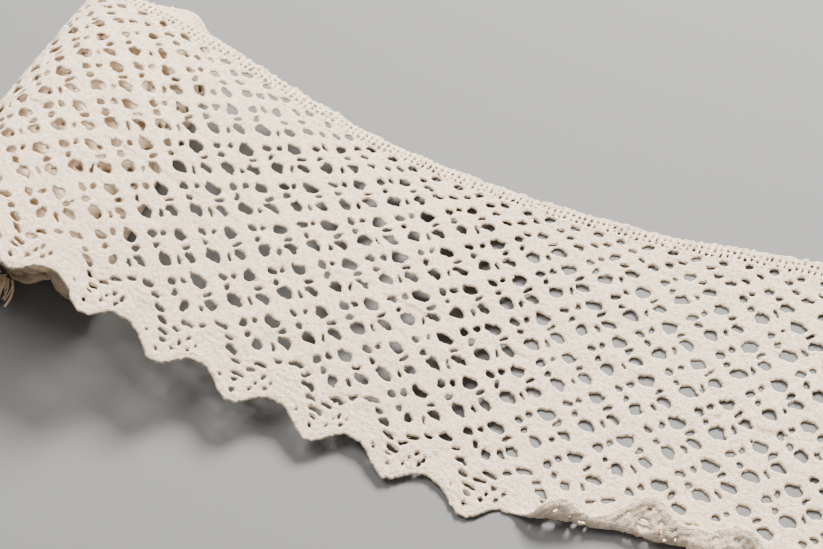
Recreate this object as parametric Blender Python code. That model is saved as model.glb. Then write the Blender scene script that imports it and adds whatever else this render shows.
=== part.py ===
"""Roll of lace trim: a flat, loose roll with its outer turn let out as a loose end. Metres, +Z up.

The origin is the middle of the roll's flat underside. The lace runs along +X, its straight footing
edge is on the +Y side and its toothed edge on the -Y side.

Places in the lace are given as s, in repeats along its length, and t, in rose rows across its width.
"""

import math
from collections import namedtuple

import bmesh
import bpy
import numpy as np
from mathutils import Vector

MM = 0.001

# The lace
REPEAT = 25.0 * MM
ROSE_ROW = 21.4 * MM
CLOTH = 1.2 * MM
FOOTING_EDGE = 2.90
TOOTH_TIP = -2.72
TOOTH_VALLEY = -2.40
TIP_AT = 0.46
VALLEY_AT = -0.02
LACE_END = 2.20

# How the lace lies
S_AT_REFERENCE = -4.195
REFERENCE_X = 120.0 * MM
SKEW = -0.011
BOW = 0.019
PLAN_BEND = 0.32
SIDE_STEPS = 24

# Space between the outer turn and the turns inside it
TURN_GAP = 1.1 * MM

# Side views of the middle of the lace's thickness, from its tail under the roll, up round the left,
# over the top and down to the table, in mm: on the footing edge, on the line of the tooth tips, and
# how far the middle of the lace bulges up between them.
Station = namedtuple("Station", "foot_x foot_z tooth_x tooth_z bulge")
LACE_STATIONS = [
    Station(-10.0, 0.6, -10.0, 0.6, 0.0),
    Station(-23.0, 4.5, -20.5, 5.5, 0.0),
    Station(-30.5, 13.5, -25.0, 18.0, 0.0),
    Station(-27.5, 23.0, -18.0, 32.0, 1.8),
    Station(-14.0, 28.7, -6.0, 40.0, 3.8),
    Station(4.0, 26.7, 10.0, 40.5, 4.2),
    Station(22.0, 20.7, 29.0, 36.0, 3.9),
    Station(41.0, 14.8, 48.0, 27.5, 3.5),
    Station(60.0, 8.8, 68.0, 18.0, 3.2),
    Station(84.0, 3.2, 95.0, 10.0, 4.0),
    Station(115.0, 0.8, 130.0, 3.4, 3.2),
    Station(160.0, 0.6, 180.0, 0.6, 0.0),
    Station(230.0, 0.6, 240.0, 0.6, 0.0),
    Station(330.0, 0.6, 330.0, 0.6, 0.0),
]
# The turns inside follow the lace to this station, then round the right side to the flat underside
LAST_STATION_ON_ROLL = 5
ROLL_RIGHT_SIDE = [
    Station(15.0, 19.6, 25.0, 31.0, 2.0),
    Station(21.0, 12.5, 37.0, 21.5, 0.0),
    Station(20.5, 4.5, 38.5, 8.5, 0.0),
    Station(13.0, 0.0, 29.0, 0.0, 0.0),
]
FLAT_START = Station(-8.2, 0.0, -8.2, 0.0, 0.0)

# The footing edge is pulled sideways, most near the end: places along the lace and the pull in mm
Pull = namedtuple("Pull", "s aside")
PULLS = [
    Pull(-14.0, 0.8),
    Pull(-10.0, 0.8),
    Pull(-8.0, 1.6),
    Pull(-6.0, -0.2),
    Pull(-4.2, -2.1),
    Pull(-2.8, -2.0),
    Pull(-1.6, -0.3),
    Pull(-0.4, 4.5),
    Pull(1.0, 8.3),
    Pull(2.4, 7.8),
]

# The toothed margin rolls under near the end, fuller at each tooth: where along the lace, where
# across it the roll-under starts, and the height and the reach of the rolled form in mm
Curl = namedtuple("Curl", "s fold_t height reach")
CURLS = [
    Curl(-2.40, -2.80, 0.0, 0.0),
    Curl(-1.95, -2.52, 1.2, 1.0),
    Curl(-1.54, -2.10, 5.0, 6.0),
    Curl(-1.10, -2.06, 3.4, 4.2),
    Curl(-0.75, -1.85, 5.0, 8.0),
    Curl(-0.50, -1.67, 6.4, 10.5),
    Curl(-0.20, -1.78, 4.8, 7.5),
    Curl(0.05, -1.84, 4.2, 6.5),
    Curl(0.46, -1.70, 6.0, 9.0),
    Curl(1.00, -1.82, 4.4, 6.5),
    Curl(1.46, -1.70, 5.8, 8.5),
    Curl(2.40, -1.78, 4.8, 7.0),
]
CURL_RISE_WIDTH = 26.0 * MM
LEAST_CURL = 0.9 * MM
CURL_STEPS = 24

# Large holes of the net, one over and one under each rose: offsets from the rose and sizes in mm
Hole = namedtuple("Hole", "ds dt width height")
ROSE_HOLES = [Hole(0.040, 0.215, 4.5, 4.1), Hole(0.035, -0.255, 4.5, 4.0)]
ROSE_ROWS = [-1.5, -1.0, -0.5, 0.0, 0.5, 1.0, 1.5, 2.0]
LOWEST_HOLE_T = -1.6
HIGHEST_HOLE_T = 2.1
HOLE_SIDES = 6
HOLE_UNEVENNESS = 0.10
HOLE_CLEAR_OF_END = 5.0 * MM

# The wound roll. Its ends show turns, each with its push towards the footing side in mm, and the
# start of its teeth along the turn in repeats. Shares are of the way in from the outside.
Turn = namedtuple("Turn", "push tooth_start")
TURNS = [Turn(0.0, 0.15), Turn(2.6, 0.60), Turn(1.6, 0.35), Turn(0.8, 0.85)]
TURN_PITCH = 0.20
TURN_THICKNESS = 0.14
TURN_GROOVE = 2.2 * MM
BULGE = 8.5 * MM
BULGE_POINT = 28
BULGE_HALF_WIDTH = 9
SECTION_POINTS = 48
COVERED_POINTS = 26
FOOTING_END = 61.5 * MM
TOOTHED_END = -52.5 * MM
ROLL_RINGS = 7
ROLL_RING_MARGIN = 9.0 * MM
INNER_TOOTH_DEPTH = 4.5 * MM
LOW_RECESS = 17.0 * MM
RECESS_STEEPNESS = 1.8
CORE_HEIGHT = 0.44

LACE_COLOUR = (0.80, 0.74, 0.64, 1.0)
ROLL_COLOUR = (0.70, 0.62, 0.50, 1.0)
COTTON_ROUGHNESS = 0.9


def remove_everything():
    """Removes the objects of the open scene."""
    for item in list(bpy.data.objects):
        bpy.data.objects.remove(item, do_unlink=True)


def cotton(name, colour):
    """Makes the material of a cotton piece."""
    material = bpy.data.materials.new(name)
    material.use_nodes = True
    shader = material.node_tree.nodes["Principled BSDF"]
    shader.inputs["Base Color"].default_value = colour
    shader.inputs["Roughness"].default_value = COTTON_ROUGHNESS
    shader.inputs["Metallic"].default_value = 0.0
    return material


def smooth_line(points, steps=SIDE_STEPS):
    """Returns a smooth line through the points, with the given number of steps between each two."""
    points = np.asarray(points, float)
    gaps = np.sqrt(np.linalg.norm(np.diff(points, axis=0), axis=1))
    slopes = np.zeros_like(points)
    slopes[0] = (points[1] - points[0]) / gaps[0]
    slopes[-1] = (points[-1] - points[-2]) / gaps[-1]
    for i in range(1, len(points) - 1):
        before, after = gaps[i - 1], gaps[i]
        back = (points[i] - points[i - 1]) / before
        ahead = (points[i + 1] - points[i]) / after
        slopes[i] = (back * after + ahead * before) / (before + after)
    line = []
    for i, gap in enumerate(gaps):
        for q in np.arange(steps) / steps:
            start = (2 * q**3 - 3 * q**2 + 1) * points[i] + (q**3 - 2 * q**2 + q) * gap * slopes[i]
            stop = (3 * q**2 - 2 * q**3) * points[i + 1] + (q**3 - q**2) * gap * slopes[i + 1]
            line.append(start + stop)
    line.append(points[-1])
    return np.array(line)


def stations_at(rows, share):
    """Returns x and z of table rows, in metres, at a share of the way to the footing edge."""
    table = np.array(rows)
    points = share * table[:, 0:2] + (1.0 - share) * table[:, 2:4]
    points[:, 1] += 4.0 * share * (1.0 - share) * table[:, 4]
    return points * MM


def footing_share(across):
    """Returns how far a place across the lace is from the tooth tips to the footing edge, as 0 to 1."""
    return (across / ROSE_ROW - TOOTH_TIP) / (FOOTING_EDGE - TOOTH_TIP)


def side_view(across):
    """Returns the lace's side view at a place across it, and the length along that line."""
    line = smooth_line(stations_at(LACE_STATIONS, footing_share(across)))
    line[:, 1] = np.maximum(line[:, 1], CLOTH / 2)
    run = np.concatenate([[0.0], np.cumsum(np.linalg.norm(np.diff(line, axis=0), axis=1))])
    middle = len(line) // 2
    return line, run - np.interp(REFERENCE_X, line[middle:, 0], run[middle:])


def in_plan(x, across):
    """Bends the straight run gently towards the footing side, as seen from above."""
    angle = PLAN_BEND * max(x, 0.0)
    along = math.sin(angle) / PLAN_BEND + min(x, 0.0)
    aside = (1.0 - math.cos(angle)) / PLAN_BEND
    return along - across * math.sin(angle), aside + across * math.cos(angle)


def distance_along(s, t):
    """Returns how far along its side view a place in the lace is, from the reference."""
    return (s - S_AT_REFERENCE + SKEW * t + BOW * t * t) * REPEAT


def curl_at(s):
    """Returns where the margin starts to roll under, and the height and reach of the rolled form."""
    table = np.array(CURLS)
    fold_t, height, reach = (np.interp(s, table[:, 0], table[:, i]) for i in (1, 2, 3))
    return fold_t, height * MM, reach * MM


def along_half_oval(distance, reach, rise):
    """Returns the turn round an oval after a distance from its top, and what is left past its foot."""
    turn = np.linspace(0.0, math.pi, CURL_STEPS + 1)
    middle = (turn[1:] + turn[:-1]) / 2
    steps = np.hypot(reach * np.cos(middle), rise * np.sin(middle)) * math.pi / CURL_STEPS
    run = np.concatenate([[0.0], np.cumsum(steps)])
    return np.interp(distance, run, turn), max(0.0, distance - run[-1])


def across_and_lift(s, t, pull):
    """Returns how far across a place lies, and how far it is lifted, with the margin rolled under."""
    fold_t, height, reach = curl_at(s)
    beyond = (fold_t - t) * ROSE_ROW
    if height < LEAST_CURL:
        return t * ROSE_ROW + pull, 0.0
    if beyond <= 0.0:
        near = max(0.0, 1.0 + beyond / CURL_RISE_WIDTH)
        return t * ROSE_ROW + pull, height * near * near * (3.0 - 2.0 * near)
    turn, rest = along_half_oval(beyond, reach, height / 2)
    across = fold_t * ROSE_ROW - reach * math.sin(turn) + rest
    return across, height / 2 * (1.0 + math.cos(turn))


class LaceForm:
    """The surface in which the lace lies. Side views that were worked out once are kept."""

    def __init__(self):
        self.views = {}
        self.pull = smooth_line(PULLS)

    def place(self, s, t):
        """Returns the point in space of a place in the lace, at the middle of its thickness."""
        key = round(t, 5)
        if key not in self.views:
            self.views[key] = side_view(t * ROSE_ROW)
        line, run = self.views[key]
        along = distance_along(s, t)
        x = np.interp(along, run, line[:, 0])
        z = np.interp(along, run, line[:, 1])
        pull = np.interp(s, self.pull[:, 0], self.pull[:, 1]) * MM * footing_share(t * ROSE_ROW) ** 2
        across, lift = across_and_lift(s, t, pull)
        px, py = in_plan(x, across)
        return np.array([px, py, z + lift])

    def tail(self, t):
        """Returns s where the lace starts, under the roll."""
        run = side_view(t * ROSE_ROW)[1]
        return run[0] / REPEAT + S_AT_REFERENCE - SKEW * t - BOW * t * t

    def place_off(self, s, t, height):
        """Returns a point at a height over the middle of the thickness."""
        step = 0.004
        centre = self.place(s, t)
        along = self.place(s + step, t) - self.place(s - step, t)
        across = self.place(s, t + step) - self.place(s, t - step)
        normal = np.cross(along, across)
        return centre + normal / np.linalg.norm(normal) * height


def unevenness(s, t, which):
    """Returns a small steady change of -1 to 1 that differs from hole to hole."""
    return math.sin(12.9898 * s + 78.233 * t + 37.719 * which)


def hole_outline(s, t, hole):
    """Returns the flat outline of one hole of the net, in metres."""
    wide = hole.width * MM / 2 * (1.0 + HOLE_UNEVENNESS * unevenness(s, t, 1))
    high = hole.height * MM / 2 * (1.0 + HOLE_UNEVENNESS * unevenness(s, t, 2))
    turn = 0.35 * unevenness(s, t, 3)
    centre_x = (s + hole.ds) * REPEAT
    centre_y = (t + hole.dt) * ROSE_ROW
    corners = []
    for i in range(HOLE_SIDES):
        angle = 2 * math.pi * i / HOLE_SIDES + turn
        corners.append((centre_x + wide * math.cos(angle), centre_y + high * math.sin(angle)))
    return corners


def rose_places(form):
    """Yields s and t of each rose of the net."""
    for t in ROSE_ROWS:
        shift = 0.0 if t == int(t) else 0.5
        for n in range(math.floor(form.tail(t)), math.ceil(LACE_END) + 1):
            yield n + shift, t


def net_holes(form):
    """Returns the outlines of the large holes that lie well inside the lace."""
    outlines = []
    for s, t in rose_places(form):
        for hole in ROSE_HOLES:
            hole_s, hole_t = s + hole.ds, t + hole.dt
            inside = LOWEST_HOLE_T < hole_t < HIGHEST_HOLE_T
            after_tail = (hole_s - form.tail(hole_t)) * REPEAT > HOLE_CLEAR_OF_END
            before_end = (LACE_END - hole_s) * REPEAT > HOLE_CLEAR_OF_END
            if inside and after_tail and before_end:
                outlines.append(hole_outline(s, t, hole))
    return outlines


def toothed_edge(first_s):
    """Returns the toothed edge, from the end of the lace back to its tail."""
    places = []
    for n in range(math.ceil(LACE_END), math.floor(first_s) - 1, -1):
        places += [(n + TIP_AT + 0.08, TOOTH_TIP + 0.03), (n + TIP_AT, TOOTH_TIP)]
        places += [(n + TIP_AT - 0.08, TOOTH_TIP + 0.03)]
        places += [(n + VALLEY_AT + 0.08, TOOTH_VALLEY - 0.02), (n + VALLEY_AT, TOOTH_VALLEY)]
        places += [(n + VALLEY_AT - 0.08, TOOTH_VALLEY - 0.02)]
    margin = 0.1
    return [(s, t) for s, t in places if first_s + margin < s < LACE_END - margin]


def lace_outline(form):
    """Returns the flat outline of the lace, in metres."""
    first_s = form.tail(TOOTH_VALLEY)
    places = [(LACE_END, t) for t in np.linspace(FOOTING_EDGE, TOOTH_VALLEY - 0.1, 9)]
    places += toothed_edge(first_s)
    places += [(form.tail(t), t) for t in np.linspace(TOOTH_VALLEY - 0.1, FOOTING_EDGE, 9)]
    steps = 34
    start = form.tail(FOOTING_EDGE)
    places += [(start + (LACE_END - start) * i / steps, FOOTING_EDGE) for i in range(1, steps)]
    return [(s * REPEAT, t * ROSE_ROW) for s, t in places]


def add_outline(curve, outline):
    """Adds a closed straight-sided outline to a flat curve."""
    spline = curve.splines.new("POLY")
    spline.points.add(len(outline) - 1)
    for point, (x, y) in zip(spline.points, outline):
        point.co = (x, y, 0.0, 1.0)
    spline.use_cyclic_u = True


def flat_lace_mesh(form):
    """Makes the flat lace with its holes cut through, as a mesh."""
    curve = bpy.data.curves.new("flat_lace", "CURVE")
    curve.dimensions = "2D"
    curve.fill_mode = "BOTH"
    curve.extrude = CLOTH / 2
    add_outline(curve, lace_outline(form))
    for outline in net_holes(form):
        add_outline(curve, outline)
    flat = bpy.data.objects.new("flat_lace", curve)
    bpy.context.scene.collection.objects.link(flat)
    graph = bpy.context.evaluated_depsgraph_get()
    mesh = bpy.data.meshes.new_from_object(flat.evaluated_get(graph))
    bpy.data.objects.remove(flat, do_unlink=True)
    return mesh


def cut_across(bm, faces_in, point, normal):
    """Cuts the faces that a test picks along a plane, so that the flat mesh can bend there."""
    faces = [face for face in bm.faces if faces_in(face.calc_center_median())]
    edges = {edge for face in faces for edge in face.edges}
    verts = {vert for face in faces for vert in face.verts}
    geometry = list(verts) + list(edges) + faces
    bmesh.ops.bisect_plane(bm, geom=geometry, dist=0.02 * MM, plane_co=point, plane_no=normal)


def cut_to_bend(bm, form):
    """Cuts the flat mesh along the lines where the lace bends."""
    start = form.tail(0.0)
    bends = [start + 0.22 * i for i in range(1, 14)]
    bends += [start + 3.1 + 0.6 * i for i in range(0, 8)]
    for s in bends:
        cut_across(bm, lambda middle: True, (s * REPEAT, 0.0, 0.0), (1.0, 0.0, 0.0))
    first, last_t = -2.6, -0.7

    def in_margin(middle):
        return middle.x > (first - 0.5) * REPEAT and middle.y < last_t * ROSE_ROW

    for s in np.arange(first, LACE_END, 0.5):
        cut_across(bm, in_margin, (s * REPEAT, 0.0, 0.0), (1.0, 0.0, 0.0))
    for t in np.arange(-2.6, last_t, 0.19):
        cut_across(bm, in_margin, (0.0, t * ROSE_ROW, 0.0), (0.0, 1.0, 0.0))


def lace_band(form, collection):
    """Makes the outer turn and the loose end: one sheet, cut flat and then laid in its form."""
    mesh = flat_lace_mesh(form)
    bm = bmesh.new()
    bm.from_mesh(mesh)
    bmesh.ops.remove_doubles(bm, verts=bm.verts, dist=0.01 * MM)
    level = [face for face in bm.faces if abs(face.normal.z) > 0.5]
    inner = [edge for edge in bm.edges if all(abs(face.normal.z) > 0.5 for face in edge.link_faces)]
    bmesh.ops.beautify_fill(bm, faces=level, edges=inner)
    cut_to_bend(bm, form)
    bmesh.ops.triangulate(bm, faces=bm.faces)
    for vert in bm.verts:
        vert.co = form.place_off(vert.co.x / REPEAT, vert.co.y / ROSE_ROW, vert.co.z)
    bmesh.ops.recalc_face_normals(bm, faces=bm.faces)
    bm.to_mesh(mesh)
    bm.free()
    mesh.name = "lace_band"
    mesh.materials.clear()
    mesh.materials.append(cotton("lace", LACE_COLOUR))
    collection.objects.link(bpy.data.objects.new("lace_band", mesh))


def roll_section(across):
    """Returns the closed outline of the turns inside, looking along the roll, as x and z."""
    share = footing_share(across)
    line = smooth_line(stations_at(LACE_STATIONS, share))
    line = line[: LAST_STATION_ON_ROLL * SIDE_STEPS + 1]
    heading = np.gradient(line, axis=0)
    heading /= np.linalg.norm(heading, axis=1)[:, None]
    inward = np.stack([heading[:, 1], -heading[:, 0]], axis=1)
    covered = line + inward * (CLOTH / 2 + TURN_GAP)
    length = np.concatenate([[0.0], np.cumsum(np.linalg.norm(np.diff(covered, axis=0), axis=1))])
    even = np.linspace(0.0, length[-1], COVERED_POINTS)
    covered = np.stack([np.interp(even, length, covered[:, i]) for i in range(2)], axis=1)
    right = smooth_line(np.vstack([covered[-3:], stations_at(ROLL_RIGHT_SIDE, share)]))
    right = right[2 * SIDE_STEPS :]
    length = np.concatenate([[0.0], np.cumsum(np.linalg.norm(np.diff(right, axis=0), axis=1))])
    even = np.linspace(0.0, length[-1], SECTION_POINTS - COVERED_POINTS - 2)[1:]
    right = np.stack([np.interp(even, length, right[:, i]) for i in range(2)], axis=1)
    right[:, 1] = np.maximum(right[:, 1], 0.0)
    flat_start = stations_at([FLAT_START], share)
    flat = [right[-1] + (flat_start[0] - right[-1]) * q for q in (1 / 3, 2 / 3, 1.0)]
    return np.vstack([covered, right, flat])


class RollForm:
    """The wound form of the turns inside: two end sections with straight lines between them."""

    def __init__(self):
        self.foot = roll_section(FOOTING_END)
        self.tooth = roll_section(TOOTHED_END)
        steps = np.linalg.norm(np.diff(self.foot, axis=0, append=self.foot[:1]), axis=1)
        self.run = np.concatenate([[0.0], np.cumsum(steps)])

    def point(self, i, across, scale):
        """Returns a point of the section at a place along the roll, drawn in towards its core."""
        share = (across - TOOTHED_END) / (FOOTING_END - TOOTHED_END)
        section = share * self.foot + (1.0 - share) * self.tooth
        low, high = section.min(axis=0), section.max(axis=0)
        core = np.array([(low[0] + high[0]) / 2, low[1] + CORE_HEIGHT * (high[1] - low[1])])
        x, z = core + (section[i] - core) * scale
        px, py = in_plan(x, across)
        return px, py, z

    def footing_edge(self, i, turn):
        """Returns how far out a turn's edge lies on the footing side, with the bulge of the first turn."""
        off = abs(i - BULGE_POINT) / BULGE_HALF_WIDTH
        bulge = BULGE * (0.5 + 0.5 * math.cos(math.pi * min(off, 1.0)))
        reach = bulge if turn is TURNS[0] else 0.0
        return FOOTING_END + turn.push * MM + reach

    def toothed_edge(self, i, turn):
        """Returns how far out a turn's edge lies on the toothed side, with its teeth.

        The end leans, so that the low side of the roll stands back from the top.
        """
        along = (self.run[i] / REPEAT + turn.tooth_start) % 1.0
        tooth = 1.0 - abs(2.0 * along - 1.0)
        below_top = 1.0 - self.tooth[i][1] / self.tooth[:, 1].max()
        recess = LOW_RECESS * min(1.0, RECESS_STEEPNESS * below_top)
        return TOOTHED_END + turn.push * MM - INNER_TOOTH_DEPTH * tooth + recess

    def end_rings(self, edge, outward):
        """Returns the rings of one end from the outside in, with a groove between turns."""
        rings = []
        for number, turn in enumerate(TURNS):
            scale = 1.0 - number * TURN_PITCH
            spans = [(scale, 0.0), (scale - TURN_THICKNESS, 0.0)]
            spans += [(scale - (TURN_THICKNESS + TURN_PITCH) / 2, TURN_GROOVE)]
            for size, depth in spans:
                ring = [self.point(i, edge(i, turn) - outward * depth, size) for i in range(SECTION_POINTS)]
                rings.append(ring)
        return rings


def wound_roll(collection):
    """Makes the turns inside as one solid: a loft between unlike ends, with the turns' edges."""
    form = RollForm()
    toothed = form.end_rings(form.toothed_edge, -1.0)
    footing = form.end_rings(form.footing_edge, 1.0)
    first = TOOTHED_END + LOW_RECESS + ROLL_RING_MARGIN
    last = FOOTING_END - ROLL_RING_MARGIN
    middle = []
    for across in np.linspace(first, last, ROLL_RINGS):
        middle.append([form.point(i, across, 1.0) for i in range(SECTION_POINTS)])
    rings = toothed[::-1] + middle + footing
    bm = bmesh.new()
    loops = [[bm.verts.new(point) for point in ring] for ring in rings]
    for loop, following in zip(loops, loops[1:]):
        for i in range(SECTION_POINTS):
            j = (i + 1) % SECTION_POINTS
            bm.faces.new((loop[i], loop[j], following[j], following[i]))
    for loop in (loops[0], loops[-1]):
        centre = bm.verts.new(sum((vert.co for vert in loop), Vector()) / SECTION_POINTS)
        for i in range(SECTION_POINTS):
            bm.faces.new((loop[i], loop[(i + 1) % SECTION_POINTS], centre))
    bmesh.ops.recalc_face_normals(bm, faces=bm.faces)
    bmesh.ops.triangulate(bm, faces=bm.faces)
    mesh = bpy.data.meshes.new("wound_roll")
    bm.to_mesh(mesh)
    bm.free()
    mesh.shade_smooth()
    mesh.materials.append(cotton("wound_lace", ROLL_COLOUR))
    collection.objects.link(bpy.data.objects.new("wound_roll", mesh))


def main():
    """Builds the roll and the loose end."""
    remove_everything()
    collection = bpy.data.collections.new("roll_of_lace_trim")
    bpy.context.scene.collection.children.link(collection)
    wound_roll(collection)
    lace_band(LaceForm(), collection)


main()
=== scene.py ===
"""The looks of a roll of cotton lace trim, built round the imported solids. Metres, +Z up.

Places in the lace are given flat, as s, in repeats along its length, and t, in rose rows across its
width. A sheet is first worked out flat, with its openings, and then laid in the form that the
solids give it: the outer turn with the loose end, and the turns wound inside it.
"""

import logging
import math
from dataclasses import dataclass, field
from enum import Enum

import bpy
import numpy as np
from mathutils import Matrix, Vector


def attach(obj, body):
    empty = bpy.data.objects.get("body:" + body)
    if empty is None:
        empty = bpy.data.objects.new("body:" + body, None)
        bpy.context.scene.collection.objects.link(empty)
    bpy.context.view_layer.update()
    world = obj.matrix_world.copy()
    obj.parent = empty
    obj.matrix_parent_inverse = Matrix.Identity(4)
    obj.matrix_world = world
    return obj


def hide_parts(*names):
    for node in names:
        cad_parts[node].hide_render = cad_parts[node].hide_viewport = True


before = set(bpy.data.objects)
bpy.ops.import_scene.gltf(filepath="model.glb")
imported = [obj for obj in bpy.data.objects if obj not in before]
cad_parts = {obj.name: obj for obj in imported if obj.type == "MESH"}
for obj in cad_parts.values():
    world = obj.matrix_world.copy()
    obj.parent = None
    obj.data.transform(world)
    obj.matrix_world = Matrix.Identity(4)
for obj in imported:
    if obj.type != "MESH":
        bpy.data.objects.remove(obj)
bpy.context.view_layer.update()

log = logging.getLogger("lace_trim")
logging.basicConfig(level=logging.INFO, format="%(name)s: %(message)s")

MM = 0.001
ROOT = "root"

# The lace
REPEAT = 25.0 * MM
ROSE_ROW = 21.4 * MM
FOOTING_EDGE = 2.90
TOOTH_TIP = -2.72
TOOTH_VALLEY = -2.40
TIP_AT = 0.46
VALLEY_AT = -0.02
LACE_START = -11.70
LACE_END = 2.20

# How the lace lies: the same form as the solids'
S_AT_REFERENCE = -4.195
REFERENCE_X = 120.0 * MM
SKEW = -0.011
BOW = 0.019
PLAN_BEND = 0.32
FLOOR_CLEARANCE = 0.6 * MM
LEAST_HEIGHT = 0.55 * MM

# Working values of the flat sheet
LEAST_STEEPNESS = 0.15
BRIDGE_PASSES = 3

# Side views on the footing edge and on the line of the tooth tips, and the bulge between, in mm.
# Columns: foot x, foot z, tooth x, tooth z, bulge.
LACE_STATIONS = (
    (-10.0, 0.6, -10.0, 0.6, 0.0),
    (-23.0, 4.5, -20.5, 5.5, 0.0),
    (-30.5, 13.5, -25.0, 18.0, 0.0),
    (-27.5, 23.0, -18.0, 32.0, 1.8),
    (-14.0, 28.7, -6.0, 40.0, 3.8),
    (4.0, 26.7, 10.0, 40.5, 4.2),
    (22.0, 20.7, 29.0, 36.0, 3.9),
    (41.0, 14.8, 48.0, 27.5, 3.5),
    (60.0, 8.8, 68.0, 18.0, 3.2),
    (84.0, 3.2, 95.0, 10.0, 4.0),
    (115.0, 0.8, 130.0, 3.4, 3.2),
    (160.0, 0.6, 180.0, 0.6, 0.0),
    (230.0, 0.6, 240.0, 0.6, 0.0),
    (330.0, 0.6, 330.0, 0.6, 0.0),
)
LAST_STATION_ON_ROLL = 5
ROLL_RIGHT_SIDE = (
    (15.0, 19.6, 25.0, 31.0, 2.0),
    (21.0, 12.5, 37.0, 21.5, 0.0),
    (20.5, 4.5, 38.5, 8.5, 0.0),
    (13.0, 0.0, 29.0, 0.0, 0.0),
)
FLAT_START = (-8.2, 0.0, -8.2, 0.0, 0.0)

# How far the two edges are pulled aside. Columns: place along the lace, the footing edge's pull in mm,
# the toothed edge's pull in mm.
PULLS = (
    (-14.0, 0.8, 0.0),
    (-10.0, 0.8, 0.0),
    (-8.0, 1.6, 0.0),
    (-6.0, -0.2, 0.3),
    (-4.2, -2.1, 1.4),
    (-2.8, -2.0, -1.5),
    (-1.6, -0.3, -2.5),
    (-0.4, 4.5, -1.9),
    (1.0, 8.3, 0.0),
    (2.4, 7.8, 0.0),
)

# How the toothed margin folds up and back near the end. Columns: place along the lace, where across it
# the fold starts, the fold's radius in mm.
CURLS = (
    (-2.60, -2.80, 1.5),
    (-2.15, -2.45, 1.5),
    (-1.90, -2.27, 3.0),
    (-1.54, -2.12, 4.2),
    (-1.25, -2.10, 3.0),
    (-1.02, -2.09, 1.8),
    (-0.80, -2.03, 1.7),
    (-0.54, -2.02, 2.0),
    (-0.35, -1.98, 3.0),
    (-0.02, -1.98, 1.8),
    (0.30, -1.98, 2.8),
    (0.46, -1.94, 4.2),
    (0.75, -1.99, 2.6),
    (0.98, -1.99, 1.8),
    (1.46, -1.97, 3.4),
    (2.40, -1.98, 2.6),
)
FOLD_TURN = math.radians(150)


def soft_step(share: np.ndarray) -> np.ndarray:
    """Returns a smooth rise from 0 to 1 as a share goes from 0 to 1."""
    share = np.clip(share, 0.0, 1.0)
    return share * share * (3.0 - 2.0 * share)


def smooth_line(points: np.ndarray, steps: int) -> np.ndarray:
    """Draws a smooth line through points.

    Args:
        points: the points, one a row.
        steps: how many steps the line takes between two points.

    Returns:
        The points of the line.
    """
    points = np.asarray(points, float)
    gaps = np.sqrt(np.linalg.norm(np.diff(points, axis=0), axis=1))
    slopes = np.zeros_like(points)
    slopes[0] = (points[1] - points[0]) / gaps[0]
    slopes[-1] = (points[-1] - points[-2]) / gaps[-1]
    for i in range(1, len(points) - 1):
        before, after = gaps[i - 1], gaps[i]
        back = (points[i] - points[i - 1]) / before
        ahead = (points[i + 1] - points[i]) / after
        slopes[i] = (back * after + ahead * before) / (before + after)
    q = (np.arange(steps) / steps)[:, None]
    line = []
    for i, gap in enumerate(gaps):
        start = (2 * q**3 - 3 * q**2 + 1) * points[i] + (q**3 - 2 * q**2 + q) * gap * slopes[i]
        stop = (3 * q**2 - 2 * q**3) * points[i + 1] + (q**3 - q**2) * gap * slopes[i + 1]
        line.append(start + stop)
    return np.vstack([*line, points[-1:]])


def run_along(line: np.ndarray) -> np.ndarray:
    """Returns the length along a line at each of its points."""
    return np.concatenate([[0.0], np.cumsum(np.linalg.norm(np.diff(line, axis=0), axis=1))])


def stations_at(rows: tuple, share: float) -> np.ndarray:
    """Works out the side view's points at a place across the lace.

    Args:
        rows: a table of stations.
        share: how far across, from the tooth tips at 0 to the footing edge at 1.

    Returns:
        The points, as x and z in metres.
    """
    table = np.array(rows)
    points = share * table[:, 0:2] + (1.0 - share) * table[:, 2:4]
    points[:, 1] += 4.0 * share * (1.0 - share) * table[:, 4]
    return points * MM


def footing_share(across: np.ndarray) -> np.ndarray:
    """Returns how far places across the lace are from the tooth tips to the footing edge, 0 to 1."""
    return (across / ROSE_ROW - TOOTH_TIP) / (FOOTING_EDGE - TOOTH_TIP)


def in_plan(x: np.ndarray, across: np.ndarray) -> tuple[np.ndarray, np.ndarray]:
    """Bends the straight run gently towards the footing side, as seen from above."""
    angle = PLAN_BEND * np.maximum(x, 0.0)
    along = np.sin(angle) / PLAN_BEND + np.minimum(x, 0.0)
    aside = (1.0 - np.cos(angle)) / PLAN_BEND
    return along - across * np.sin(angle), aside + across * np.cos(angle)


def table_at(table: np.ndarray, i: np.ndarray, j: np.ndarray) -> np.ndarray:
    """Reads a table between its entries.

    Args:
        table: the entries, in two directions, with any number of values each.
        i: places in the first direction, in entries.
        j: places in the second direction, in entries.

    Returns:
        The values at the places.
    """
    i = np.clip(i, 0.0, table.shape[0] - 1.001)
    j = np.clip(j, 0.0, table.shape[1] - 1.001)
    low_i, low_j = i.astype(int), j.astype(int)
    part_i, part_j = (i - low_i)[:, None], (j - low_j)[:, None]
    first = table[low_i, low_j] * (1 - part_i) + table[low_i + 1, low_j] * part_i
    second = table[low_i, low_j + 1] * (1 - part_i) + table[low_i + 1, low_j + 1] * part_i
    return first * (1 - part_j) + second * part_j


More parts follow.
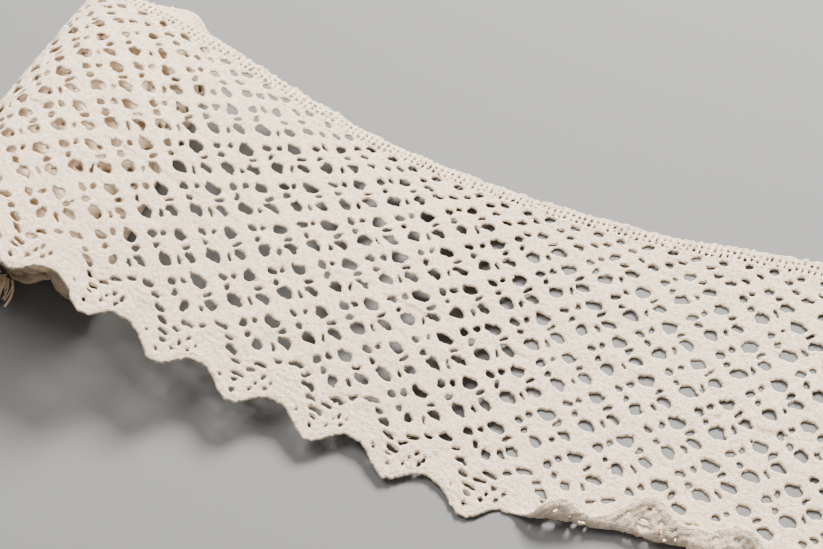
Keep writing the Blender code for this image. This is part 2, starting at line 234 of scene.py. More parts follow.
def soft_noise(x: np.ndarray, y: np.ndarray, cell: float, seed: int) -> np.ndarray:
    """Works out a smooth random height over a plane, the same in each run.

    Args:
        x: places in the first direction, in metres.
        y: places in the second direction, in metres.
        cell: the size of its bumps, in metres.
        seed: picks one of many like patterns.

    Returns:
        Heights from -1 to 1.
    """
    count = 257
    values = np.random.default_rng(seed).uniform(-1.0, 1.0, (count, count, 1))
    u, v = np.mod(x / cell, count - 1), np.mod(y / cell, count - 1)
    eased_u = np.floor(u) + soft_step(u - np.floor(u))
    eased_v = np.floor(v) + soft_step(v - np.floor(v))
    return table_at(values, eased_u, eased_v)[:, 0]


class LaceForm:
    """The surface in which the outer turn and the loose end lie."""

    steps = 72
    row_step = 0.1
    run_step = 0.4 * MM
    probe = 0.12 * MM

    def __init__(self) -> None:
        """Works out side views for rows across the lace."""
        self.rows = np.arange(TOOTH_TIP - 0.2, FOOTING_EDGE + 0.3, self.row_step)
        views = [self.side_view(t) for t in self.rows]
        self.low = min(run[0] for line, run in views)
        runs = np.arange(self.low, max(run[-1] for line, run in views), self.run_step)
        columns = [[np.interp(runs, run, line[:, i]) for i in range(2)] for line, run in views]
        self.table = np.array(columns).transpose(2, 0, 1)
        self.pull = smooth_line(np.array(PULLS), self.steps)
        self.curls = np.array(CURLS)

    def side_view(self, t: float) -> tuple[np.ndarray, np.ndarray]:
        """Returns the side view at a place across the lace, and the run along it from the reference."""
        share = footing_share(t * ROSE_ROW)
        line = smooth_line(stations_at(LACE_STATIONS, share), self.steps)
        line[:, 1] = np.maximum(line[:, 1], FLOOR_CLEARANCE)
        run = run_along(line)
        middle = len(line) // 2
        return line, run - np.interp(REFERENCE_X, line[middle:, 0], run[middle:])

    def flat_across(self, s: np.ndarray, t: np.ndarray) -> np.ndarray:
        """Returns how far across places lie before the margin is folded."""
        share = footing_share(t * ROSE_ROW)
        foot, tooth = (np.interp(s, self.pull[:, 0], self.pull[:, i]) * MM for i in (1, 2))
        return t * ROSE_ROW + foot * share**2 + tooth * (1.0 - share) ** 2

    def across_and_lift(self, s: np.ndarray, t: np.ndarray) -> tuple[np.ndarray, np.ndarray]:
        """Works out how far across places lie, and how high the folded margin lifts them.

        Args:
            s: places along the lace, in repeats.
            t: places across it, in rose rows.

        Returns:
            The distances across and the lifts, in metres.
        """
        fold_t, radius = (np.interp(s, self.curls[:, 0], self.curls[:, i]) for i in (1, 2))
        radius = radius * MM
        across, fold = self.flat_across(s, t), self.flat_across(s, fold_t)
        beyond = np.maximum(fold - across, 0.0)
        turn = np.minimum(beyond / radius, FOLD_TURN)
        rest = beyond - turn * radius
        back = fold - radius * np.sin(turn) - rest * np.cos(turn)
        lift = radius * (1.0 - np.cos(turn)) + rest * np.sin(turn)
        return np.where(beyond > 0.0, back, across), lift

    def place(self, flat: np.ndarray) -> np.ndarray:
        """Lays flat places in the form.

        Args:
            flat: places in the flat lace, along and across, in metres.

        Returns:
            The points of the middle of the lace's thickness.
        """
        s, t = flat[:, 0] / REPEAT, flat[:, 1] / ROSE_ROW
        run = (s - S_AT_REFERENCE + SKEW * t + BOW * t * t) * REPEAT
        row = (t - self.rows[0]) / self.row_step
        side = table_at(self.table, (run - self.low) / self.run_step, row)
        across, lift = self.across_and_lift(s, t)
        x, y = in_plan(side[:, 0], across)
        return np.stack([x, y, side[:, 1] + lift], axis=1)

    def lay(self, flat: np.ndarray) -> tuple[np.ndarray, np.ndarray]:
        """Returns the points of flat places in the form, and the way out of its upper side there."""
        along = np.array([self.probe, 0.0])
        aside = np.array([0.0, self.probe])
        one_way = self.place(flat + along) - self.place(flat - along)
        other_way = self.place(flat + aside) - self.place(flat - aside)
        normals = np.cross(one_way, other_way)
        return self.place(flat), normals / np.linalg.norm(normals, axis=1)[:, None]


class HoleShape(Enum):
    """The kinds of opening in the net."""

    ROUND = "round"
    TAPERED = "tapered"
    BROAD = "broad"
    BEAN = "bean"
    SLIT = "slit"


@dataclass(frozen=True)
class Opening:
    """One kind of opening of the lace, and where it comes in each repeat.

    Sizes are in mm and the tilt is in degrees. ds is in repeats and dt in rose rows, from a rose's
    middle or from the start of the repeat.
    """

    ds: float
    dt: float
    width: float
    height: float
    tilt: float = 0.0
    shape: HoleShape = HoleShape.ROUND


# Round each rose, as it is in the real lace
ROSE_OPENINGS = (
    Opening(0.040, 0.215, 5.4, 3.8, 0, HoleShape.TAPERED),
    Opening(0.035, -0.255, 5.1, 3.9, 0, HoleShape.BROAD),
    Opening(-0.255, -0.015, 3.1, 2.4, 0, HoleShape.ROUND),
    Opening(0.310, -0.015, 5.2, 2.8, -8, HoleShape.BEAN),
    Opening(-0.140, 0.105, 2.0, 2.1, -20, HoleShape.ROUND),
    Opening(-0.135, -0.145, 2.0, 2.3, 15, HoleShape.ROUND),
    Opening(0.205, 0.120, 3.4, 1.5, 48, HoleShape.SLIT),
    Opening(0.205, -0.155, 3.0, 1.2, -50, HoleShape.SLIT),
)
ROSE_ROWS = (-1.5, -1.0, -0.5, 0.0, 0.5, 1.0, 1.5, 2.0)

# Along the footing, over the last row of roses
FOOTING_OPENINGS = (
    Opening(0.32, 2.55, 3.9, 2.0, 0, HoleShape.SLIT),
    Opening(0.63, 2.55, 3.7, 1.9, 0, HoleShape.SLIT),
    Opening(0.96, 2.55, 3.9, 2.0, 0, HoleShape.SLIT),
    Opening(0.17, 2.42, 3.3, 1.4, 8, HoleShape.SLIT),
    Opening(0.82, 2.42, 3.3, 1.4, -8, HoleShape.SLIT),
    Opening(0.32, 2.31, 3.4, 1.4, 0, HoleShape.SLIT),
    Opening(0.67, 2.31, 3.4, 1.4, 0, HoleShape.SLIT),
    Opening(0.00, 2.20, 3.8, 2.7, 0, HoleShape.ROUND),
    Opening(0.50, 2.20, 4.0, 1.9, 0, HoleShape.SLIT),
    Opening(0.17, 2.11, 2.6, 1.3, 18, HoleShape.SLIT),
    Opening(0.83, 2.11, 2.6, 1.3, -18, HoleShape.SLIT),
)

# Under the lowest row of roses, in the border of teeth
BORDER_OPENINGS = (
    Opening(0.51, -1.730, 3.1, 3.7, 0, HoleShape.ROUND),
    Opening(0.02, -1.735, 4.8, 1.9, 4, HoleShape.SLIT),
    Opening(0.175, -1.84, 3.0, 1.2, 14, HoleShape.SLIT),
    Opening(0.83, -1.84, 2.9, 1.2, 24, HoleShape.SLIT),
    Opening(0.275, -1.97, 4.4, 2.0, -14, HoleShape.BEAN),
    Opening(0.645, -1.98, 4.5, 1.5, 14, HoleShape.SLIT),
    Opening(0.355, -2.12, 4.0, 1.3, -16, HoleShape.SLIT),
    Opening(0.560, -2.12, 3.7, 1.3, 14, HoleShape.SLIT),
    Opening(0.455, -2.26, 4.3, 1.4, 0, HoleShape.SLIT),
    Opening(0.450, -2.37, 2.7, 1.0, -5, HoleShape.SLIT),
    Opening(0.455, -2.52, 1.5, 1.1, -30, HoleShape.ROUND),
    Opening(0.740, -2.17, 2.1, 0.85, 66, HoleShape.SLIT),
    Opening(0.850, -2.20, 2.1, 0.85, 66, HoleShape.SLIT),
    Opening(0.800, -2.31, 1.8, 0.85, 52, HoleShape.SLIT),
    Opening(0.670, -2.28, 1.8, 0.80, 74, HoleShape.SLIT),
    Opening(0.630, -2.40, 1.5, 0.95, 60, HoleShape.SLIT),
    Opening(0.250, -2.37, 1.3, 0.80, -60, HoleShape.SLIT),
)
LOWEST_ROSE_ROW = -1.5
HIGHEST_ROSE_ROW = 2.0

# The close footing: ribs across it, with rows of pinholes between them
RIBS_PER_REPEAT = 12
PINHOLE_ROWS = (
    Opening(0.0, 2.685, 0.85, 1.00),
    Opening(0.0, 2.780, 0.66, 0.70),
)


@dataclass(frozen=True)
class PlacedHole:
    """One opening at its place in the flat lace, in metres, a little unlike the others."""

    x: float
    y: float
    half_width: float
    half_height: float
    tilt: float
    shape: HoleShape

    def distance(self, x: np.ndarray, y: np.ndarray) -> np.ndarray:
        """Works out how far places are outside the opening.

        Args:
            x: places along the flat lace, in metres.
            y: places across it, in metres.

        Returns:
            About the distance to the rim, less than 0 inside the opening.
        """
        dx, dy = x - self.x, y - self.y
        u = (dx * math.cos(self.tilt) + dy * math.sin(self.tilt)) / self.half_width
        v = (dy * math.cos(self.tilt) - dx * math.sin(self.tilt)) / self.half_height
        if self.shape is HoleShape.TAPERED:
            u = (u + 0.10 * np.clip(v, -1.5, 1.5)) / (1.0 + 0.20 * np.clip(v, -1.5, 1.5))
        elif self.shape is HoleShape.BROAD:
            u = (u + 0.16 * np.clip(v, -1.5, 1.5)) / (1.0 - 0.16 * np.clip(v, -1.5, 1.5))
        elif self.shape is HoleShape.BEAN:
            v = v + 0.32 * np.clip(u * u, 0.0, 1.6) - 0.12
        power = 2.0 if self.shape is HoleShape.SLIT else 2.5
        size = (np.abs(u) ** power + np.abs(v) ** power + 1e-9) ** (1.0 / power)
        slope = np.hypot(u / self.half_width, v / self.half_height) + 1e-6
        return size * (size - 1.0) / slope


class LaceChart:
    """Where the openings of the flat lace are, and its outline."""

    spread = 0.11
    shift = 0.30 * MM
    turn = math.radians(12)
    edge_wave = 0.45 * MM
    tooth_sharpness = 1.35

    def __init__(self, seed: int, openness: float = 0.88, least_size: float = 0.0) -> None:
        """Sets up the chart.

        Args:
            seed: picks one of many like patterns of unevenness.
            openness: how wide the openings are, as a share of the chart's sizes.
            least_size: the least height in mm of an opening that is made.
        """
        self.seed = seed
        self.openness = openness
        self.least_size = least_size

    def placed(self, opening: Opening, s: float, t: float) -> PlacedHole:
        """Puts an opening in place.

        Args:
            opening: the kind of opening.
            s: the repeat that it counts from.
            t: the rose row that it counts from.

        Returns:
            The opening at its place.
        """
        rng = np.random.default_rng([self.seed, int(s * 2) + 200, int(opening.dt * 1000) + 9000,
                                     int(opening.ds * 1000) + 1000, int(t * 2) + 50])
        wide, high = self.openness + self.spread * rng.uniform(-1.0, 1.0, 2)
        across, aside, turn = rng.uniform(-1.0, 1.0, 3)
        return PlacedHole(
            (s + opening.ds) * REPEAT + across * self.shift,
            (t + opening.dt) * ROSE_ROW + aside * self.shift,
            opening.width / 2 * MM * wide,
            opening.height / 2 * MM * high,
            math.radians(opening.tilt) + turn * self.turn,
            opening.shape,
        )

    def openings(self, first: float, last: float) -> list[PlacedHole]:
        """Lists the openings of a length of lace.

        Args:
            first: where the length starts, in repeats.
            last: where it ends.

        Returns:
            The openings at their places.
        """
        holes = []
        for n in range(math.floor(first) - 1, math.ceil(last) + 1):
            for t in ROSE_ROWS:
                shift = 0.0 if t == int(t) else 0.5
                for opening in ROSE_OPENINGS:
                    over_top = t == HIGHEST_ROSE_ROW and opening.dt > 0.05
                    under_bottom = t == LOWEST_ROSE_ROW and opening.dt < -0.2
                    if not over_top and not under_bottom:
                        holes.append(self.placed(opening, n + shift, t))
            for opening in FOOTING_OPENINGS + BORDER_OPENINGS:
                holes.append(self.placed(opening, n, 0.0))
            for row in PINHOLE_ROWS:
                for k in range(RIBS_PER_REPEAT):
                    pinhole = Opening((k + 0.5) / RIBS_PER_REPEAT, row.dt, row.width, row.height)
                    holes.append(self.placed(pinhole, n, 0.0))
        return [hole for hole in holes if 2 * hole.half_height / MM >= self.least_size]

    def edge_distance(self, x: np.ndarray, y: np.ndarray) -> np.ndarray:
        """Works out how far places are inside the long edges of the lace.

        Args:
            x: places along the flat lace, in metres.
            y: places across it, in metres.

        Returns:
            About the distance to the nearest long edge, less than 0 outside.
        """
        wave = self.edge_wave * soft_noise(x, y * 0.0, 1.05 * MM, self.seed + 5)
        slow = self.edge_wave * soft_noise(x, y * 0.0, 6.0 * MM, self.seed + 6)
        foot = FOOTING_EDGE * ROSE_ROW - y + wave + slow
        along = x / REPEAT - VALLEY_AT
        along = along - np.floor(along)
        tip = TIP_AT - VALLEY_AT
        rise = np.where(along < tip, along / tip, (1.0 - along) / (1.0 - tip))
        eased = 0.5 - 0.5 * np.cos(math.pi * rise)
        depth = eased ** self.tooth_sharpness
        edge = (TOOTH_VALLEY + (TOOTH_TIP - TOOTH_VALLEY) * depth) * ROSE_ROW
        slope = (TOOTH_VALLEY - TOOTH_TIP) * ROSE_ROW / (0.5 * REPEAT) * 1.3 * np.sin(math.pi * rise)
        tooth = (y - edge + 0.6 * (wave + slow)) / np.sqrt(1.0 + slope * slope)
        return np.minimum(foot, tooth)


@dataclass
class FlatLace:
    """A length of lace, worked out flat as a net of small triangles whose rims follow its openings.

    cell is the size of the triangles. The arrays are filled by make().
    """

    chart: LaceChart
    first: float
    last: float
    cell: float
    warp: float = 0.42 * MM
    warp_cell: float = 1.7 * MM
    fuzz: float = 0.27 * MM
    fuzz_cell: float = 0.95 * MM
    snap_share: float = 0.42
    bridge: float = 0.22 * MM
    margin: int = 3
    points: np.ndarray = field(default=None, repr=False)
    depth: np.ndarray = field(default=None, repr=False)
    faces: np.ndarray = field(default=None, repr=False)

    def make(self) -> "FlatLace":
        """Fills the arrays, and returns the length itself."""
        x = np.arange(self.first * REPEAT - self.margin * self.cell,
                      self.last * REPEAT + self.margin * self.cell, self.cell)
        y = np.arange(TOOTH_TIP * ROSE_ROW - 4 * self.cell,
                      FOOTING_EDGE * ROSE_ROW + 5 * self.cell, self.cell)
        grid_x, grid_y = np.meshgrid(x, y, indexing="ij")
        depth = self.field(x, y, grid_x, grid_y)
        self.snap(grid_x, grid_y, depth)
        points = np.stack([grid_x.ravel(), grid_y.ravel()], axis=1)
        self.cut(points, depth.ravel(), self.grid_faces(len(x), len(y)))
        self.split_bridges()
        return self

    def field(self, x: np.ndarray, y: np.ndarray, grid_x: np.ndarray, grid_y: np.ndarray) -> np.ndarray:
        """Works out how deep each point of the grid is inside the cloth.

        Args:
            x: the grid's steps along the lace.
            y: the grid's steps across it.
            grid_x: each point's place along the lace.
            grid_y: each point's place across it.

        Returns:
            The distances to the nearest rim, less than 0 where there is no cloth.
        """
        seed = self.chart.seed
        shape = grid_x.shape
        flat_x, flat_y = grid_x.ravel(), grid_y.ravel()
        warped_x = grid_x + self.warp * soft_noise(flat_x, flat_y, self.warp_cell, seed + 1).reshape(shape)
        warped_y = grid_y + self.warp * soft_noise(flat_x, flat_y, self.warp_cell, seed + 2).reshape(shape)
        depth = self.chart.edge_distance(flat_x, flat_y).reshape(shape)
        ends = np.minimum(grid_x - self.first * REPEAT, self.last * REPEAT - grid_x)
        depth = np.minimum(depth, ends)
        for hole in self.chart.openings(self.first, self.last):
            reach = max(hole.half_width, hole.half_height) + 2.0 * MM
            i0, i1 = np.searchsorted(x, (hole.x - reach, hole.x + reach))
            j0, j1 = np.searchsorted(y, (hole.y - reach, hole.y + reach))
            if i0 == i1 or j0 == j1:
                continue
            window = (slice(i0, i1), slice(j0, j1))
            away = hole.distance(warped_x[window], warped_y[window])
            depth[window] = np.minimum(depth[window], away)
        fuzz = soft_noise(flat_x, flat_y, self.fuzz_cell, seed + 3).reshape(shape)
        return depth + self.fuzz * fuzz * (np.abs(depth) < 4 * self.cell)

    def snap(self, grid_x: np.ndarray, grid_y: np.ndarray, depth: np.ndarray) -> None:
        """Moves the grid's points that are near a rim onto it, so that no thin slivers arise.

        Args:
            grid_x: each point's place along the lace, changed in place.
            grid_y: each point's place across it, changed in place.
            depth: the points' distances to the nearest rim, changed in place.
        """
        slope_x, slope_y = np.gradient(depth, self.cell)
        steep = slope_x**2 + slope_y**2
        near = (np.abs(depth) < self.snap_share * self.cell) & (steep > LEAST_STEEPNESS)
        move_x = np.where(near, -depth * slope_x / np.maximum(steep, LEAST_STEEPNESS), 0.0)
        move_y = np.where(near, -depth * slope_y / np.maximum(steep, LEAST_STEEPNESS), 0.0)
        limit = self.snap_share * self.cell
        grid_x += np.clip(move_x, -limit, limit)
        grid_y += np.clip(move_y, -limit, limit)
        depth[near] = 0.0

    def grid_faces(self, count_x: int, count_y: int) -> np.ndarray:
        """Returns the triangles of a grid of points, with diagonals that change from cell to cell."""
        i, j = np.meshgrid(np.arange(count_x - 1), np.arange(count_y - 1), indexing="ij")
        i, j = i.ravel(), j.ravel()
        a, b = i * count_y + j, (i + 1) * count_y + j
        c, d = b + 1, a + 1
        even = (i + j) % 2 == 0
        first = np.where(even[:, None], np.stack([a, b, c], 1), np.stack([a, b, d], 1))
        second = np.where(even[:, None], np.stack([a, c, d], 1), np.stack([b, c, d], 1))
        return np.vstack([first, second])

    def cut(self, points: np.ndarray, depth: np.ndarray, faces: np.ndarray) -> None:
        """Keeps the part of a mesh that is cloth, with new points where its edges cross a rim.

        Args:
            points: the mesh's points.
            depth: their distances to the nearest rim.
            faces: the mesh's triangles.
        """
        side = np.sign(depth)
        outside = (side[faces] < 0).sum(axis=1)
        inside = (side[faces] > 0).sum(axis=1)
        kept = [faces[(outside == 0) & (inside > 0)]]
        mixed = faces[(outside > 0) & (inside > 0)]
        signs = side[mixed]
        ends = np.vstack([mixed[:, [0, 1]], mixed[:, [1, 2]], mixed[:, [2, 0]]])
        crossing = side[ends[:, 0]] * side[ends[:, 1]] < 0
        ends = np.sort(ends[crossing], axis=1)
        keys = np.unique(ends[:, 0].astype(np.int64) * len(points) + ends[:, 1])
        low, high = keys // len(points), keys % len(points)
        share = (depth[low] / (depth[low] - depth[high]))[:, None]
        crossings = points[low] * (1 - share) + points[high] * share

        def crossing_of(a: np.ndarray, b: np.ndarray) -> np.ndarray:
            """Returns the points where the edges from a to b cross the rim."""
            key = np.minimum(a, b).astype(np.int64) * len(points) + np.maximum(a, b)
            return len(points) + np.searchsorted(keys, key)

        for turn in range(3):
            a, b, c = (mixed[:, (turn + k) % 3] for k in range(3))
            sa, sb, sc = (signs[:, (turn + k) % 3] for k in range(3))
            pick = (sa < 0) & (sb > 0) & (sc > 0)
            ab, ac = crossing_of(a[pick], b[pick]), crossing_of(a[pick], c[pick])
            kept.append(np.stack([ab, b[pick], c[pick]], 1))
            kept.append(np.stack([ab, c[pick], ac], 1))
            pick = (sa < 0) & (sb > 0) & (sc == 0)
            kept.append(np.stack([crossing_of(a[pick], b[pick]), b[pick], c[pick]], 1))
            pick = (sa < 0) & (sb == 0) & (sc > 0)
            kept.append(np.stack([b[pick], c[pick], crossing_of(a[pick], c[pick])], 1))
            pick = (sa > 0) & (sb < 0) & (sc < 0)
            ab, ac = crossing_of(a[pick], b[pick]), crossing_of(a[pick], c[pick])
            kept.append(np.stack([a[pick], ab, ac], 1))
        faces = np.vstack(kept)
        used, faces = np.unique(faces, return_inverse=True)
        self.points = np.vstack([points, crossings])[used]
        self.depth = np.concatenate([depth, np.zeros(len(crossings))])[used]
        self.faces = faces.reshape(-1, 3)

    def split_bridges(self) -> None:
        """Gives a thin strand's cross edges a middle point, so that the strand has a thickness."""
        for _ in range(BRIDGE_PASSES):
            pairs = [self.faces[:, [0, 1]], self.faces[:, [1, 2]], self.faces[:, [2, 0]]]
            edges = np.sort(np.vstack(pairs), axis=1)
            keys = edges[:, 0].astype(np.int64) * len(self.points) + edges[:, 1]
            found, counts = np.unique(keys, return_counts=True)
            shared = found[counts == 2]
            low, high = shared // len(self.points), shared % len(self.points)
            thin = shared[(self.depth[low] == 0) & (self.depth[high] == 0)]
            if not len(thin):
                return
            per_face = keys.reshape(3, -1).T
            is_thin = np.isin(per_face, thin)
            which = np.argmax(is_thin, axis=1)
            split = is_thin.any(axis=1)
            chosen = per_face[np.arange(len(per_face)), which]
            agreed, times = np.unique(chosen[split], return_counts=True)
            agreed = agreed[times == 2]
            split &= np.isin(chosen, agreed)
            low, high = agreed // len(self.points), agreed % len(self.points)
            middles = (self.points[low] + self.points[high]) / 2
            rows = np.flatnonzero(split)
            turn = which[rows]
            a = self.faces[rows, turn]
            b = self.faces[rows, (turn + 1) % 3]
            c = self.faces[rows, (turn + 2) % 3]
            middle = len(self.points) + np.searchsorted(agreed, chosen[rows])
            added = np.vstack([np.stack([a, middle, c], 1), np.stack([middle, b, c], 1)])
            self.faces = np.vstack([self.faces[~split], added])
            self.points = np.vstack([self.points, middles])
            self.depth = np.concatenate([self.depth, np.full(len(middles), self.bridge)])

    def area(self) -> float:
        """Returns the flat area of the cloth itself."""
        a, b, c = (self.points[self.faces[:, i]] for i in range(3))
        one, other = b - a, c - a
        return float(np.abs(one[:, 0] * other[:, 1] - one[:, 1] * other[:, 0]).sum() / 2)


@dataclass
class LaceRelief:
    """How thick the lace is over its flat pattern: rounded strands, puffed roses and soft waves."""

    half_thickness: float = 0.50 * MM
    round_width: float = 0.85 * MM
    wave: float = 0.35 * MM
    wave_cell: float = 9.0 * MM
    grain: float = 0.17 * MM
    grain_cell: float = 1.10 * MM
    rib: float = 0.17 * MM
    arc: float = 0.10 * MM
    arc_pitch: float = 2.1 * MM

    def thickness(self, depth: np.ndarray) -> np.ndarray:
        """Returns half the thickness at places of a given depth inside the cloth."""
        near = 1.0 - np.minimum(depth / self.round_width, 1.0)
        return self.half_thickness * np.sqrt(np.maximum(1.0 - near * near, 0.0))

    def bumps(self, flat: np.ndarray, edge: np.ndarray, seed: int) -> np.ndarray:
        """Works out the yarn's unevenness, the ribs of the footing and the arcs of the border.

        Args:
            flat: places in the flat lace.
            edge: their distances to its long edges.
            seed: picks one of many like patterns.

        Returns:
            Heights over the even cloth, in metres.
        """
        x, t = flat[:, 0], flat[:, 1] / ROSE_ROW
        grain = self.grain * soft_noise(x, flat[:, 1], self.grain_cell, seed + 11)
        ribs = soft_step((t - 2.45) / 0.15) * np.cos(2 * math.pi * RIBS_PER_REPEAT * x / REPEAT)
        arcs = soft_step((-1.75 - t) / 0.25) * np.cos(2 * math.pi * edge / self.arc_pitch)
        return grain + self.rib * ribs + self.arc * arcs

    def waves(self, flat: np.ndarray, seed: int) -> np.ndarray:
        """Returns how far the whole cloth stands off its form at flat places."""
        x, y = flat[:, 0], flat[:, 1]
        wide = soft_noise(x, y, self.wave_cell, seed + 12)
        fine = soft_noise(x, y, self.wave_cell / 2.6, seed + 13)
        return self.wave * (wide + 0.45 * fine)


def make_mesh(name: str, points: np.ndarray, faces: np.ndarray) -> bpy.types.Mesh:
    """Makes a mesh of triangles.

    Args:
        name: the mesh's name.
        points: its points, in metres.
        faces: three point numbers for each triangle.

    Returns:
        The mesh, with smooth faces.
    """
    mesh = bpy.data.meshes.new(name)
    mesh.vertices.add(len(points))
    mesh.vertices.foreach_set("co", points.astype(np.float32).ravel())
    mesh.loops.add(3 * len(faces))
    mesh.loops.foreach_set("vertex_index", faces.astype(np.int32).ravel())
    mesh.polygons.add(len(faces))
    mesh.polygons.foreach_set("loop_start", np.arange(0, 3 * len(faces), 3, dtype=np.int32))
    mesh.update(calc_edges=True)
    mesh.validate()
    mesh.shade_smooth()
    return mesh


def add_object(name: str, mesh: bpy.types.Mesh) -> bpy.types.Object:
    """Adds a mesh to the scene as an object at the origin."""
    item = bpy.data.objects.new(name, mesh)
    bpy.context.scene.collection.objects.link(item)
    return item


def keep_attribute(mesh: bpy.types.Mesh, name: str, values: np.ndarray) -> None:
    """Keeps a number or a vector for each point of a mesh.

    Args:
        mesh: the mesh.
        name: the attribute's name.
        values: one number, or three, for each point.
    """
    wide = values.ndim == 2
    layer = mesh.attributes.new(name, "FLOAT_VECTOR" if wide else "FLOAT", "POINT")
    layer.data.foreach_set("vector" if wide else "value", values.astype(np.float32).ravel())


@dataclass
class ClosedSheet:
    """A flat length of lace laid in space as a closed sheet, whose two sides meet at its rims."""

    lace: FlatLace
    relief: LaceRelief
    lay: "callable"
    least_height: float = 0.05 * MM

    def build(self, names: tuple[str, ...], splits: tuple[float, ...] = ()) -> list[bpy.types.Object]:
        """Makes the sheet's objects.

        Args:
            names: a name for each piece.
            splits: places along the lace, in repeats, where one piece ends and the next starts.

        Returns:
            The objects, in the order of their names.
        """
        flat, depth, faces = self.lace.points, self.lace.depth, self.lace.faces
        seed = self.lace.chart.seed
        inner = depth > 0
        count = len(flat)
        under = np.where(inner, count + np.cumsum(inner) - 1, np.arange(count))
        middle, normal = self.lay(flat)
        thickness = self.relief.thickness(depth)
        fullness = thickness / self.relief.half_thickness
        middle = middle + normal * self.relief.waves(flat, seed)[:, None]
        edge = self.lace.chart.edge_distance(flat[:, 0], flat[:, 1])
        over_bump = thickness + fullness * self.relief.bumps(flat, edge, seed)
        under_bump = thickness + fullness * self.relief.bumps(flat, edge, seed + 40)
        over = middle + normal * over_bump[:, None]
        below = (middle - normal * under_bump[:, None])[inner]
        points = np.vstack([over, below])
        points[:, 2] = np.maximum(points[:, 2], self.least_height)
        normals = self.point_normals(points, np.vstack([faces, under[faces][:, ::-1]]))
        places = np.zeros((len(points), 3))
        places[:, :2] = np.vstack([flat, flat[inner]])
        edges = np.concatenate([edge, edge[inner]])
        depths = np.concatenate([depth, depth[inner]])
        middles = flat[faces].mean(axis=1)[:, 0] / REPEAT
        piece_of = np.searchsorted(np.array(splits), middles) if splits else np.zeros(len(faces), int)
        items = []
        for number, name in enumerate(names):
            own = faces[piece_of == number]
            shell = np.vstack([own, under[own][:, ::-1], self.walls(own, under, depth)])
            used, shell = np.unique(shell, return_inverse=True)
            mesh = make_mesh(name, points[used], shell.reshape(-1, 3))
            keep_attribute(mesh, "flat_place", places[used])
            keep_attribute(mesh, "edge_run", edges[used])
            keep_attribute(mesh, "cloth_depth", depths[used])
            mesh.normals_split_custom_set_from_vertices(normals[used])
            item = add_object(name, mesh)
            item["flat_area"] = self.flat_area(own)
            items.append(item)
        return items

    def walls(self, faces: np.ndarray, under: np.ndarray, depth: np.ndarray) -> np.ndarray:
        """Returns the triangles that close a piece where it was parted from the next."""
        edges = np.vstack([faces[:, [0, 1]], faces[:, [1, 2]], faces[:, [2, 0]]])
        low, high = np.sort(edges, axis=1).T
        keys = low.astype(np.int64) * len(depth) + high
        _, first, counts = np.unique(keys, return_index=True, return_counts=True)
        single = edges[first[counts == 1]]
        parted = single[(depth[single] > 0).any(axis=1)]
        a, b = parted[:, 0], parted[:, 1]
        quads = np.vstack([np.stack([b, a, under[a]], 1), np.stack([b, under[a], under[b]], 1)])
        whole = (quads[:, 0] != quads[:, 1]) & (quads[:, 1] != quads[:, 2]) & (quads[:, 0] != quads[:, 2])
        return quads[whole]

    def flat_area(self, faces: np.ndarray) -> float:
        """Returns the flat area of some of the lace's triangles, in square metres."""
        a, b, c = (self.lace.points[faces[:, i]] for i in range(3))
        one, other = b - a, c - a
        return float(np.abs(one[:, 0] * other[:, 1] - one[:, 1] * other[:, 0]).sum() / 2)

    def point_normals(self, points: np.ndarray, faces: np.ndarray) -> np.ndarray:
        """Returns each point's normal, from the triangles round it."""
        a, b, c = (points[faces[:, i]] for i in range(3))
        face_normals = np.cross(b - a, c - a)
        normals = np.zeros_like(points)
        for axis in range(3):
            for corner in range(3):
                normals[:, axis] += np.bincount(faces[:, corner], face_normals[:, axis], len(points))
        length = np.linalg.norm(normals, axis=1)[:, None]
        return normals / np.maximum(length, 1e-12)


class NodeMaker:
    """Makes the nodes of a tree. Both materials and geometry trees are made with it."""

    def __init__(self, tree: bpy.types.NodeTree) -> None:
        """Keeps the tree that the nodes go in."""
        self.tree = tree

    def node(self, kind: str, settings: dict | None = None, inputs: dict | None = None) -> bpy.types.Node:
        """Makes one node.

        Args:
            kind: the node's type.
            settings: its settings, set first. A ramp's stops go under "stops".
            inputs: values or links for its sockets, by name or number.

        Returns:
            The node.
        """
        node = self.tree.nodes.new(kind)
        for name, value in (settings or {}).items():
            if name == "stops":
                self.set_stops(node.color_ramp, value)
            else:
                setattr(node, name, value)
        for name, value in (inputs or {}).items():
            socket = node.inputs[name]
            if isinstance(value, Link):
                value = value.socket
            if isinstance(value, bpy.types.NodeSocket):
                self.tree.links.new(value, socket)
            else:
                socket.default_value = value
        return node

    def set_stops(self, ramp: bpy.types.ColorRamp, stops: tuple) -> None:
        """Gives a ramp its stops, each a place and a colour."""
        while len(ramp.elements) < len(stops):
            ramp.elements.new(0.5)
        for element, (place, colour) in zip(ramp.elements, stops):
            element.position = place
            element.color = colour


